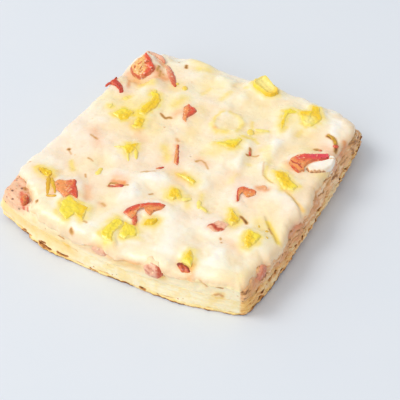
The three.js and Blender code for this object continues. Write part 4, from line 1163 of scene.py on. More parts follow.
def sauceMaterial():
    look = inLinear(sauceLook)
    material, tree, shader = newMaterial("bakedSauce", {
        "Subsurface Weight": 0.2, "Subsurface Radius": (1.0, 0.6, 0.4), "Subsurface Scale": 0.0008,
        "Coat Weight": 0.1, "Coat Roughness": 0.3})
    base = placeGroup(tree, mottle, {"Cell": 3.6, "Low": 0.36, "High": 0.64,
                                     "Pale": look["cream"], "Deep": look["peach"]})
    color = paintMarks(tree, base.outputs["Color"], look, ("dough", "peach", "tan", "light", "bare"))
    mask = placeGroup(tree, mottle, {"Cell": 2.0, "Low": 0.54, "High": 0.68}).outputs["Mask"]
    pulp = markOf(tree, "pulp")
    color = mixColor(tree, scaled(tree, mask, scaled(tree, pulp, 0.6)), color, look["red"])
    color = paintMarks(tree, color, look, ("gold", "rose"), mask)
    for full, half in (("brown", "toast"), ("deep", "red")):
        mark = uneven(tree, markOf(tree, full), mask, 0.7)
        color = scorched(tree, mark, color, look[half], look[full], (0.05, 0.5, 0.4, 0.9))
    color = flecked(tree, color, look["herb"], 2.5, 0.3, 0.5, pulp)
    addSurface(tree, shader, look, color, base.outputs["Mask"])
    return material


# looks of the bits: pale and deep flesh, rim, blotches, cheese film, scorched and charred lines, which
# on the lumps are painted shade as well; cell is the mottling in mm, specks and glints are the shares
# of dark pits and of painted highlights
bitLooks = {
    "yellow_pepper": {"pale": (246, 224, 66), "deep": (244, 200, 2), "rim": (216, 168, 10),
                      "blotch": (248, 220, 34), "film": (252, 234, 150), "rose": (246, 206, 60),
                      "scorch": (222, 170, 20), "charAndShade": (140, 100, 10), "cell": 3.4,
                      "roughness": (0.24, 0.42), "grain": (0.8, 0.6, 0.12, 0.8),
                      "specks": 0.0, "glints": 0.0},
    "red_pepper": {"pale": (242, 158, 84), "deep": (222, 54, 26), "rim": (140, 24, 12),
                   "blotch": (244, 138, 84), "film": (250, 196, 150), "rose": (230, 66, 84),
                   "scorch": (206, 62, 34), "charAndShade": (110, 24, 12), "cell": 0.9,
                   "roughness": (0.14, 0.34), "grain": (0.8, 0.6, 0.6, 0.8),
                   "specks": 0.45, "glints": 0.4},
    "tomato": {"pale": (244, 192, 118), "deep": (228, 48, 24), "rim": (160, 44, 20),
               "blotch": (240, 148, 72), "film": (252, 214, 194), "rose": (206, 84, 72),
               "scorch": (208, 92, 44), "charAndShade": (126, 56, 16), "cell": 0.9,
               "roughness": (0.12, 0.3), "grain": (0.8, 0.6, 0.6, 0.8),
               "specks": 0.5, "glints": 0.45},
    "ham": {"pale": (244, 186, 154), "deep": (224, 138, 100), "rim": (180, 92, 60),
            "blotch": (248, 206, 176), "film": (253, 226, 186), "rose": (238, 138, 52),
            "scorch": (208, 88, 52), "charAndShade": (134, 44, 16), "cell": 1.6,
            "roughness": (0.3, 0.5), "grain": (0.8, 0.6, 0.35, 0.8),
            "specks": 0.2, "glints": 0.3},
    "white_curd": {"pale": (255, 248, 234), "deep": (252, 232, 206), "rim": (240, 204, 160),
                   "blotch": (255, 250, 242), "film": (254, 240, 214), "rose": (248, 220, 200),
                   "scorch": (232, 184, 134), "charAndShade": (150, 84, 44), "cell": 3.0,
                   "roughness": (0.3, 0.5), "grain": (0.8, 0.6, 0.12, 0.8),
                   "specks": 0.0, "glints": 0.0},
}


def bitMaterial(kind):
    look = inLinear(bitLooks[kind])
    material, tree, shader = newMaterial(kind + "Flesh", {
        "Subsurface Weight": 0.2, "Subsurface Radius": (1.0, 0.7, 0.4), "Subsurface Scale": 0.0005,
        "Coat Weight": 0.4, "Coat Roughness": 0.14})
    blotch = placeGroup(tree, mottle, {"Cell": look["cell"], "Low": 0.46, "High": 0.72}).outputs["Mask"]
    spread = scaled(tree, mathNode(tree, "SUBTRACT", blotch, 0.5), 0.5)
    shift = mathNode(tree, "ADD", markOf(tree, "tone"), spread)
    tone = mixColor(tree, rangeNode(tree, shift, 0.1, 0.9), look["pale"], look["deep"])
    body = mixColor(tree, scaled(tree, blotch, 0.55), tone, look["blotch"])
    rose = paintMarks(tree, body, look, ["rose"])
    mask = placeGroup(tree, mottle, {"Cell": 0.9, "Low": 0.3, "High": 0.6}).outputs["Mask"]
    rimMark = uneven(tree, scaled(tree, markOf(tree, "rim"), 0.7), mask, 0.3)
    rim = mixColor(tree, rimMark, rose, look["rim"])
    film = mixColor(tree, scaled(tree, markOf(tree, "film"), 0.85), rim, look["film"])
    pitted = flecked(tree, film, look["charAndShade"], 1.9, 0.26, look["specks"], 0.6)
    # glints: painted highlights, specks of the pale film colour
    bright = flecked(tree, pitted, look["film"], 1.4, 0.42, look["glints"], 0.75)
    # on the lumps this mark is painted shade on their right-hand side and in their dents; on the other
    # bits it is scorched lines
    burntAndShaded = uneven(tree, markOf(tree, "charAndShade"), mask, 0.55)
    last = scorched(tree, burntAndShaded, bright, look["scorch"], look["charAndShade"], (0.02, 0.45, 0.4, 0.95))
    addSurface(tree, shader, look, last, mask)
    return material


bitMaterials = {kind: bitMaterial(kind) for kind in bitLooks}
cheeseSurface = cheeseMaterial()
crustSurface = crustMaterial()
sauceSurface = sauceMaterial()
print("materials made")


def tornLines(points, width):
    # thin cracks along the layers of a torn cut: exp(-(n / width)^2) of lattice noise that is long
    # sideways and short upwards, broken into dashes by a second noise
    cracks = np.exp(-(latticeNoise(points * [1 / 12, 1 / 12, 1 / 1.6], 139) / width) ** 2)
    dashes = easeStep(-0.15, 0.3, latticeNoise(points * [1 / 6, 1 / 6, 1 / 3], 145))
    return cracks * mixed(0.25, 1.0, dashes)


crustForm = {
    "columns": 1180, "sideRows": 50,
    "top": nodeBox("sauce")[0][2] + 0.5,
    "skin": 1.5,  # height of the crisp bottom skin
    # x, y, radius, depth, lowest and highest height of the lean
    "wornCorners": [(-58, -53, 8, 2.0, 4, 13), (50, 62, 7, 2.2, 0, 8)],
    # how far the bottom edge lies behind the cut, by x on the front and by y on the right
    "frontFoot": [(-58, 0.6), (-52, 1.2), (-46, 0.7), (-38, -0.7), (-34, -1.3), (-26, -1.4),
                  (-20, -0.6), (-14, -0.1), (5, 0.5), (14, 0.2), (22, -0.4), (31, -0.9), (39, -0.3),
                  (47, 0.1), (57, 0.6)],
    "sideFoot": [(-52, 0.3), (-42, -0.3), (-34, -0.4), (-26, 0.3), (-18, 0.6), (-10, 1.5), (0, 2.2),
                 (10, 2.7), (30, 3.0), (41, 3.6), (50, 3.7), (61, 4.4)],
}


def cornerLean(rimX, rimY, height):
    # mm by which the wall leans in at its worn corners: a bell curve round each corner times a
    # smooth step between two heights
    return sum(depth * bell(rimX, rimY, x, y, radius) * easeStep(low, high, height)
               for x, y, radius, depth, low, high in crustForm["wornCorners"])


def makeCrust():
    # underside from the middle out, a thin crisp skin with a groove above it, a layered side
    # wall and a hidden top: one profile carried round the cut, ruffled by stretched noise
    form = crustForm
    columns, sideRows, top = form["columns"], form["sideRows"], form["top"]
    a, b = cutWalk(columns)
    rimX, rimY, _ = planPoint(a, b)
    rim = flat(rimX, rimY)
    right, front = sideOf(rimX, rimY)
    rough = 0.55 - 0.43 * front + 0.7 * right * easeStep(-52, -42, rimY)
    level = np.linspace(0, 1, sideRows)[:, None]
    height = 0.3 + (top - 0.3) * level ** 1.15
    places = flat(rimX[None], rimY[None], height)
    foot = mixed(0.6, np.interp(rimX, *np.array(form["frontFoot"]).T), front)
    foot = mixed(foot, np.interp(rimY, *np.array(form["sideFoot"]).T), right)
    inset = foot * np.clip(1 - height / 6.5, 0, 1) ** 1.3
    flaky = layeredNoise(places * [1 / 8, 1 / 8, 1 / 1.2], 1, 101, 2)
    ledges = easeStep(-0.25, 0.3, flaky) * 2 - 1
    crumb = layeredNoise(places, 1.9, 105, 2)
    skin = form["skin"] + 0.4 * latticeNoise(rim / 9, 107)
    skinShare = easeStep(0.3, -0.2, height - skin)
    groove = np.exp(-((height - skin - 0.25) / 0.35) ** 2)
    opened = easeStep(-0.1, 0.5, latticeNoise(rim / 5.5, 108))
    crisp = easeStep(-16, -26, rimX) * easeStep(-57, -48, rimX) * front
    grooveDepth = 0.2 + opened * (0.45 + 0.6 * crisp + 0.4 * right)
    ruffle = 0.35 * layeredNoise(rim, 2.6, 109, 3) * (0.7 + crisp)
    inset = inset - rough * (0.4 * ledges + 0.36 * crumb) * (1 - 0.7 * skinShare) + groove * grooveDepth
    inset = inset - ruffle * skinShare + 0.3 * np.clip(1 - height / 0.7, 0, 1) ** 2
    inset = inset + cornerLean(rimX, rimY, height)
    torn = right * easeStep(-52, -44, rimY)
    inset = inset + 0.55 * torn * tornLines(places, 0.12) * easeStep(0.6, 1.6, height)
    wave = (0.25 + 0.2 * crisp) * latticeNoise(rim / 4, 110)
    droop = np.exp(-(height / 1.8) ** 2) * np.where(height < 0.35, 0.0, wave)
    middle = slicePlan["middleInset"]
    under = np.array([middle, 46, 32, 20, 11, 6.5, 3.8, 2.2, 1.2])[:, None] * np.ones(columns)
    underHeight = 0.12 + 0.12 * latticeNoise(rim / 4, 111)
    underHeight = np.array([0, 0, 0, 0, 0, 0.2, 0.6, 0.9, 1.0])[:, None] * underHeight
    cover = np.array([1.2, 6, 22, middle])[:, None] * np.ones(columns)
    insets = np.vstack([under + inset[:1] * easeStep(12, 1, under), inset, cover])
    heights = np.vstack([underHeight, height + droop, np.full_like(cover, top)])
    points, faces = closedRings(cutSurface(columns, insets, heights))
    gold, rose, brown = facePaint(rimX, rimY, height, right, front)
    cavity = easeStep(0.1, 1.0, 0.5 * crumb - 0.4 * ledges)
    strata = layeredNoise(places * [1 / 16, 1 / 16, 1 / 1.2], 1, 112, 2) * easeStep(-49, -38, rimY)
    bottomLine = np.exp(-((height - 0.35) / 0.36) ** 2)
    patches = easeStep(-0.1, 0.45, latticeNoise(flat(rimX, rimY, height * 2) / 3.4, 113))
    toast = groove * opened * mixed(0.5, 0.9, crisp) + bottomLine * (0.5 + 0.6 * patches)
    toast = toast + cavity * (0.3 - 0.28 * front + 0.2 * right)
    toast = toast + easeStep(0.2, 0.8, strata) * right * 0.5
    toast = toast + 1.4 * torn * tornLines(places, 0.14) + right * bottomLine
    toast = np.maximum(toast * mixed(0.8, 1.0, right), brown)
    light = right * easeStep(0.1, 0.5, -strata) * 0.95
    tan = right * (0.9 + 0.3 * crumb)
    upper = easeStep(top - 2.4, top + 0.8, height + 1.2 * latticeNoise(places / 4.5, 115))
    gold = np.maximum(gold, upper * 0.35)
    underClouds = layeredNoise(flat(rimX / 56 * under, rimY / 56 * under), 6, 117)
    underToast = 0.34 + 0.25 * easeStep(-0.2, 0.5, underClouds)
    none, noneTop = 0 * under, 0 * cover
    marks = {
        "toast": [underToast, toast, noneTop], "tan": [none + 0.3, tan, noneTop],
        "light": [none, light, noneTop],
        "skin": [none + 0.8, skinShare * (0.7 + 0.3 * patches), noneTop],
        "gold": [none, gold, noneTop], "rose": [none, rose, noneTop],
    }
    makePiece("crustDough", points, faces, crustSurface, ["crust"],
              {name: np.vstack(parts).ravel() for name, parts in marks.items()})


makeCrust()
print("crust made")


sauceForm = {
    "columns": 1000, "sideRows": 26, "topRows": 34,
    "topReach": 30,  # how far in the rows of the top go
    "bottom": crustForm["top"] - 0.2,
    "top": nodeBox("cheese")[0][2] + 0.4,
    # the bare corner's wall, top and colour: x, y, radius
    "cornerWall": (-57, -56, 14), "cornerTop": (-52, -52, 13), "cornerColor": (-54, -54, 13),
    # deep red spots of the bare corner: radius, strength, line
    "deepSpots": [
        (1.1, 1.0, [(-45.8, -53.2), (-44.6, -54.6)]), (0.8, 0.7, [(-43.6, -57.2), (-42.8, -58.2)]),
        (2.4, 0.4, [(-46, -53), (-43, -57)]), (0.5, 0.6, [(-41.2, -57.6), (-40.8, -58.2)]),
        (0.8, 0.7, [(-48, -52.4), (-47, -54)]), (0.7, 0.4, [(-55.6, -47.5)]),
        (0.6, 0.4, [(-53.4, -45.6)]), (0.6, 0.5, [(-55.4, -52.2)]), (0.6, 0.5, [(-51, -49.6)]),
        (0.6, 0.6, [(-49.6, -50)]),
    ],
    "herbSpots": [
        (0.7, 1.0, [(-48.8, -49.4), (-48.0, -50.2)]), (0.5, 0.9, [(-54.3, -50.4)]),
        (0.5, 0.8, [(-43.4, -51.4)]), (0.5, 0.8, [(-50.3, -56.4)]),
        (0.4, 0.8, [(-55.6, -45.6), (-54.6, -45.6)]), (0.5, 0.7, [(-52.6, -53.6)]),
        (0.4, 0.8, [(-47.6, -55.8)]), (0.4, 0.7, [(-51, -52)]), (0.4, 0.7, [(-49, -58)]),
        (0.5, 0.8, [(-45.8, -51)]),
    ],
}
cheeseEdge = {
    "hidden": 14.2,  # height of the lower edge at the back and left cuts
    # lower edge of the cheese along the front cut: x, height in mm
    "front": [(-58, 16.6), (-44, 16.0), (-36, 14.2), (-30, 12.2), (-25, 12.0), (-20, 11),
              (-16.5, 9.2), (-13.5, 9.2), (-11, 11.5), (-9, 14), (-6, 16), (-3.5, 16), (-1, 13),
              (2, 11.8), (5, 12.4), (9.5, 14.6), (14.6, 15.8), (18, 17), (22, 17), (24.6, 14.5),
              (26, 12), (28.5, 11.8), (31.2, 13.4), (34, 15.6), (38, 16), (40.4, 14.8), (43, 13.6),
              (47, 14.4), (52, 15.0), (57, 15.4)],
    # the same along the right-hand cut: y, height
    "right": [(-52, 15.6), (-46, 15.6), (-41, 16), (-36, 15), (-31, 11.6), (-27, 11.8), (-20, 11.2),
              (-17, 13), (-13, 14.6), (-8, 14.8), (-2, 15.2), (8, 15.4), (18, 15.2), (30, 15),
              (40, 14.4), (47, 12.8), (54, 12.2), (61, 12.6)],
    # how far the cheese draws back from the right-hand cut: y, mm
    "sideBack": [(-52, 0.6), (-46, 1.4), (-42, 1.4), (-38, 2.2), (-35, 0.6), (-30, 0.2), (-24, 0.0),
                 (-20, 1.4), (-16, 2.6), (-12, 2.2), (-8, 0.4), (-4, 0.2), (1, 1.2), (6, 2.6),
                 (10, 3.4), (15, 2.6), (22, 2.0), (29, 2.4), (34, 3.6), (40, 3.2), (45, 1.8),
                 (50, 0.9), (61, 0.6)],
    # soft corners and bare patches: x, y, radius, mm
    "drawnBack": [(-58, -55, 8, 8.0), (-48, -60, 7, 5.0), (53, 62, 9, 3.6), (-57, 60, 8, 5.0)],
    "bulge": 0.3,
}


def cheeseBack(rimX, rimY, right):  # how far the cheese's edge lies behind the cut, in mm
    back = sum(depth * bell(rimX, rimY, x, y, radius)
               for x, y, radius, depth in cheeseEdge["drawnBack"])
    rim = flat(rimX, rimY)
    wander = 0.4 * latticeNoise(rim / 7, 131) + 0.3 * latticeNoise(rim / 3.2, 132)
    return back + right * np.interp(rimY, *np.array(cheeseEdge["sideBack"]).T) - wander


def cheeseLower(rimX, rimY, right, front):  # height of the cheese's lower edge round the cut
    rim = flat(rimX, rimY)
    lower = cheeseEdge["hidden"] + 0.9 * latticeNoise(rim / 6, 133)
    lower = mixed(lower, np.interp(rimX, *np.array(cheeseEdge["front"]).T), front)
    lower = mixed(lower, np.interp(rimY, *np.array(cheeseEdge["right"]).T), right)
    return lower + mixed(0.25, 0.6, right) * latticeNoise(rim / 2.2, 134)


def makeSauce():
    # the sauce's side wall slopes in to the cheese's edge and bulges softly between its lumps;
    # its top is a bumpy floor, bare at the front left corner, where the cheese draws back
    form = sauceForm
    columns, rows = form["columns"], form["sideRows"]
    a, b = cutWalk(columns)
    rimX, rimY, _ = planPoint(a, b)
    right, front = sideOf(rimX, rimY)
    corner = easeStep(0.1, 0.6, bell(rimX, rimY, *form["cornerWall"]))
    back = np.maximum(cheeseBack(rimX, rimY, right), 0) * (1 - corner)
    level = np.linspace(0, 1, rows)[:, None]
    shown = right + front
    lower = cheeseLower(rimX, rimY, right, front)
    wallTop = np.maximum(form["top"] + 0.6 + 1.2 * right, lower - 0.4 + 1.6 * shown)
    height = mixed(form["bottom"], mixed(wallTop, form["top"] + 0.6, corner), level)
    places = flat(rimX[None], rimY[None], height)
    lumpy = layeredNoise(places * [1, 1, 1.5], 3.4, 121, 3)
    rolls = np.sqrt(latticeNoise(places / 4.4, 125) ** 2 + 0.02)
    fine = layeredNoise(places * [1, 1, 0.35], 1.3, 122, 2)
    inset = 0.1 - (0.3 - 0.12 * front + 0.25 * right) * lumpy - 0.25 * (rolls - 0.35)
    inset = inset - 0.35 * right * fine
    inset = inset + 1.6 * easeStep(0.84, 1, level) ** 2 + back * level ** 1.2
    inset = inset + 1.2 * (1 - shown) * level
    inset = inset + cornerLean(rimX, rimY, height)
    inset = inset + 0.5 * right * easeStep(-49, -38, rimY) * tornLines(places, 0.12) * (1 - level ** 4)
    topInset = np.linspace(0.02, 1, form["topRows"])[:, None] ** 1.3
    topInset = mixed(inset[-1:], form["topReach"], topInset)
    share = 1 - topInset / slicePlan["halfWidth"]
    x, y, _ = planPoint(a * share, b * share)
    bare = bell(x, y, *form["cornerTop"])
    ground = height[-1:] + 0.4 * layeredNoise(flat(x, y), 3.2, 127, 3)
    ground = ground + bare * (1.0 + 0.6 * np.sqrt(latticeNoise(flat(x, y) / 2.4, 128) ** 2 + 0.02))
    ground = ground - 1.6 * easeStep(6, 22, topInset) * (1 - bare)
    middle = slicePlan["middleInset"]
    base = np.array([middle, 20, 4])[:, None] * np.ones(columns)
    heights = np.vstack([np.full_like(base, form["bottom"]), height * np.ones(columns), ground,
                         np.full((1, columns), form["top"] - 0.6)])
    insets = np.vstack([base, inset, topInset, np.full((1, columns), middle)])
    points, faces = closedRings(cutSurface(columns, insets, heights))
    px, py, pz = points.T
    right, front = sideOf(px, py)
    gold, rose, brown = facePaint(px, py, pz, right, front)
    corner = bell(px, py, *form["cornerColor"])
    shown = easeStep(form["top"] - 4.6, form["top"] - 0.4, pz + 0.8 * latticeNoise(points / 3, 119))
    strata = layeredNoise(points * [1 / 14, 1 / 14, 1 / 1.2], 1, 129, 2) * easeStep(-49, -38, py)
    patch = 0.5 + 0.5 * latticeNoise(points / 3.5, 130)
    cracks = right * np.maximum(1.5 * tornLines(points, 0.13), easeStep(0.25, 0.8, strata) * 0.5)
    herbs = softLines(px, py, form["herbSpots"]) * easeStep(form["top"] - 2, form["top"] - 1, pz)
    onTop = easeStep(form["top"] - 0.3, form["top"] + 0.6, pz)
    peach = front * np.exp(-((px - 1) / 21) ** 4) * easeStep(9.6, 12.4, pz) * (0.35 + 0.5 * patch)
    marks = {
        "bare": easeStep(0.25, 0.8, corner * shown * 1.3), "pulp": corner * shown + 0.5 * right,
        "dough": front * 0.9, "peach": peach, "tan": right * 0.9, "rose": rose,
        "light": right * easeStep(0.1, 0.5, -strata) * 0.85,
        "gold": np.maximum(gold, 0.4 * front * corner * (1 - shown)),
        "brown": np.maximum.reduce([brown, cracks, herbs]),
        "deep": softLines(px, py, form["deepSpots"]) * onTop,
    }
    makePiece("sauceBand", points, faces, sauceSurface, ["sauce"], marks)


makeSauce()
print("sauce made")


def blurGrid(values, reach):
    # each value averaged with its neighbours within reach cells, along both grid directions
    weights = softWeights(reach)
    for axis in (0, 1):
        padded = np.pad(values, [(reach, reach) if k == axis else (0, 0) for k in (0, 1)], mode="edge")
        count = values.shape[axis]
        values = sum(weight * np.take(padded, range(step, step + count), axis)
                     for step, weight in enumerate(weights))
    return values


def makeCheese():
    # a square grid of cells: its inner part is the top; the outer part rolls over a rounded
    # lip, hangs down the cut to a wavy lower edge and turns in under itself
    form, edge = cheeseForm, cheeseEdge
    cells, topShare, lip = form["gridCells"], form["topShare"], form["lipRadius"]
    line = np.linspace(-1, 1, cells + 1)
    u, v = np.meshgrid(line, line, indexing="ij")
    ring = np.maximum(np.abs(u), np.abs(v))
    safe = np.where(ring > 0, ring, 1)
    a, b = roundedSquare(u / safe, v / safe)
    rimX, rimY, rimLift = planPoint(a, b)
    right, front = sideOf(rimX, rimY)
    drawnBack = cheeseBack(rimX, rimY, right)
    lower = cheeseLower(rimX, rimY, right, front) - 0.4 - 1.2 * (1 - right - front)
    fall = np.clip((ring - topShare) / (1 - topShare), 0, 1)
    rollEnd, wallEnd = form["rollEnd"], form["wallEnd"]
    roll = np.clip(fall / rollEnd, 0, 1) * np.pi / 2
    wall = np.clip((fall - rollEnd) / (wallEnd - rollEnd), 0, 1)
    tuck = np.clip((fall - wallEnd) / (1 - wallEnd), 0, 1) * np.pi / 2
    inset = drawnBack + lip * (1 - np.sin(roll)) - edge["bulge"] * np.sin(np.pi * wall)
    inset = inset + 1.5 * (right + front) * wall ** 3 + 0.5 * (1 - np.cos(tuck))
    inner = np.clip(ring / topShare, 0, 1)
    share = inner * (1 - inset / slicePlan["halfWidth"])
    x, y, lift = planPoint(a * share, b * share)
    height, tints = cheeseField(x, y)
    orange, brown = tints["orange"], tints["brown"]
    lifted = height + lift * easeStep(0.55, 0.75, share)
    wallTop = lifted - lip * 0.8 * (1 - np.cos(roll))
    lowEdge = np.minimum(lower + rimLift, wallTop - 1.0)
    z = mixed(wallTop, lowEdge + 0.3, wall ** 1.1) - 0.3 * np.sin(tuck)
    side = easeStep(0.15, 0.6, fall)
    outward = 0.45 * latticeNoise(flat(x, y, z) / 3.8, 136)
    outward = outward + 0.2 * latticeNoise(flat(x, y, z) / 1.7, 137)
    push = 1 + side * (1 - 0.7 * wall ** 2) * outward / slicePlan["halfWidth"]
    x, y = x * push, y * push
    grid = np.stack([x, y, z], -1)
    count = cells + 1
    index = np.arange(count * count).reshape(count, count)
    quads = np.stack([index[:-1, :-1], index[1:, :-1], index[1:, 1:], index[:-1, 1:]], -1)
    border = np.concatenate([index[:-1, 0], index[-1, :-1], index[:0:-1, -1], index[0, :0:-1]])
    points = grid.reshape(-1, 3)
    hidden = points[border] * [form["underShare"], form["underShare"], 0] + [0, 0, form["underHeight"]]
    ringIndex = len(points) + np.arange(len(border))
    under = np.stack([np.roll(border, -1), border, ringIndex, np.roll(ringIndex, -1)], -1)
    faces = quads.reshape(-1, 4).tolist() + under.tolist() + [ringIndex[::-1].tolist()]
    near, broad, wide = blurGrid(z, 3), blurGrid(z, 10), blurGrid(z, 26)
    slopeX = np.gradient(z, axis=0) / np.maximum(np.gradient(x, axis=0), 0.05)
    slopeY = np.gradient(z, axis=1) / np.maximum(np.gradient(y, axis=1), 0.05)
    # painted shade: a darker, warmer colour on slopes facing right (and a little towards the front) and
    # on the cheese's wall along the right-hand cut
    turnedAway = blurGrid(np.clip(0.85 * -slopeX + 0.5 * slopeY, -1, 3), 2)
    flatTop = easeStep(topShare, topShare - 0.06, ring)
    relief = ((near - broad) * 1.1 + (broad - wide) * 0.8) * flatTop
    # partly painted shade: the hollows of the relief get a darker, warmer colour; partly thinner cheese
    # over the sauce
    hollow = easeStep(0.1, 0.9, -relief)
    shade = np.maximum(easeStep(0.05, 0.9, turnedAway) * 0.8, right * side * 0.9)
    # painted highlight: lighter on the crests of the relief, and on the lip and hanging wall except
    # along the right-hand cut, which faces away from the key light
    crestHighlight = np.maximum(easeStep(0.0, 0.55, relief), 0.5 * (1 - flatTop) * (1 - right))
    gold, rose, faceBrown = facePaint(x, y, z, right, front)
    fromEdge = z - lowEdge
    # near the cheese's lower edge the colour turns warmer and darker: partly sauce soaked into the
    # cheese, partly painted shade in the crease where the cheese meets the cut
    soakAndShade = easeStep(3.0, 0.2, fromEdge + 0.5 * latticeNoise(flat(rimX, rimY) / 3, 138)) * side
    corner = easeStep(28, 44, rimX) * front
    lowDough = mixed(easeStep(1.6, 0.1, fromEdge) * 0.5, easeStep(3.2, 0.4, fromEdge), corner)
    doughy = side * lowDough * (1 - right)
    middle = np.exp(-(rimX / 24) ** 4) * front
    edgeSoakAndShade = soakAndShade * mixed(mixed(0.35, 0.6, middle), 0.4, right)
    orange = np.maximum(orange, edgeSoakAndShade * (1 - corner * (1 - right)))
    golden = front * easeStep(-18, -30, rimX)
    gold = np.maximum(gold, soakAndShade * golden * 0.5)
    orange = orange * (1 - side * golden * 0.8)
    brown = np.maximum(brown * (1 - side), faceBrown * side)
    brown = np.maximum(brown, right * easeStep(1.0, 0.1, fromEdge) * side * 0.3)
    marks = {**tints, "blush": tints["blush"] * (1 - side), "orange": orange, "brown": brown,
             "hollow": hollow, "crestHighlight": crestHighlight, "shade": shade, "dough": doughy, "gold": gold * side,
             "rose": rose * side * 0.5}
    pad = np.zeros(len(border))
    makePiece("cheeseBlanket", np.vstack([points, hidden]), faces, cheeseSurface, ["cheese"],
              {name: np.concatenate([values.ravel(), pad]) for name, values in marks.items()})


makeCheese()
print("cheese made")


skins = {
    # bands of skin: path in mm, width, thickness, rise above the cheese, size at the two ends
    "tomato_skin": {"path": [(-7.6, 7.2), (-4.4, 4.4), (-1.4, 1.6), (1.2, -1.2), (4.6, -5)],
                    "width": 3.0, "thickness": 1.7, "rise": 0.1, "ends": (1.1, 0.8), "red": 0.7,
                    "marks": {"tone": (0.4, 1.0), "film": (0.3, -0.1), "charAndShade": (0.0, 0.45),
                              "rose": (0.2, 0.3)}},
    "tomato_corner": {"path": [(-4.6, 7.6), (-1.6, 9.6), (1.6, 10), (4.6, 8.4), (7, 6)], "width": 2.2,
                      "thickness": 2.0, "rise": 0.9, "ends": (1, 1), "red": 0.2,
                      "marks": {"tone": (0.0, 0.1), "film": (1.0, 0.6), "charAndShade": (0.0, 0.35)}},
}


def kindOf(name):
    return next(kind for kind in bitLooks if name.startswith(kind))


def skinShape(name):
    form = skins[name]
    low, high = nodeBox(name)
    path = np.array(form["path"]) + (low + high)[:2] / 2
    return bandSurface(path, form["rise"], form["width"], form["thickness"], 16,
                       form["ends"], form["red"], **form["marks"])


def makeBit(name, shapes):
    kind = kindOf(name)
    points, faces, marks = joinShapes(shapes)
    makePiece(name + "Bit", points, faces, bitMaterials[kind], [name], marks)


def makeBits():
    for name in bits:
        makeBit(name, [bitSurface(name)] + ([skinShape(name)] if name in skins else []))
    makeBit("tomato_skin", [skinShape("tomato_skin")])
    for number, (name, form) in enumerate(lumps.items()):
        low, high = nodeBox(name)
        middle, half = (low + high) / 2 + form["shift"], (high - low) / 2 * form["grow"]
        makeBit(name, [lumpSurface(middle, half, number + 3, form)])


makeBits()
print("bits made")


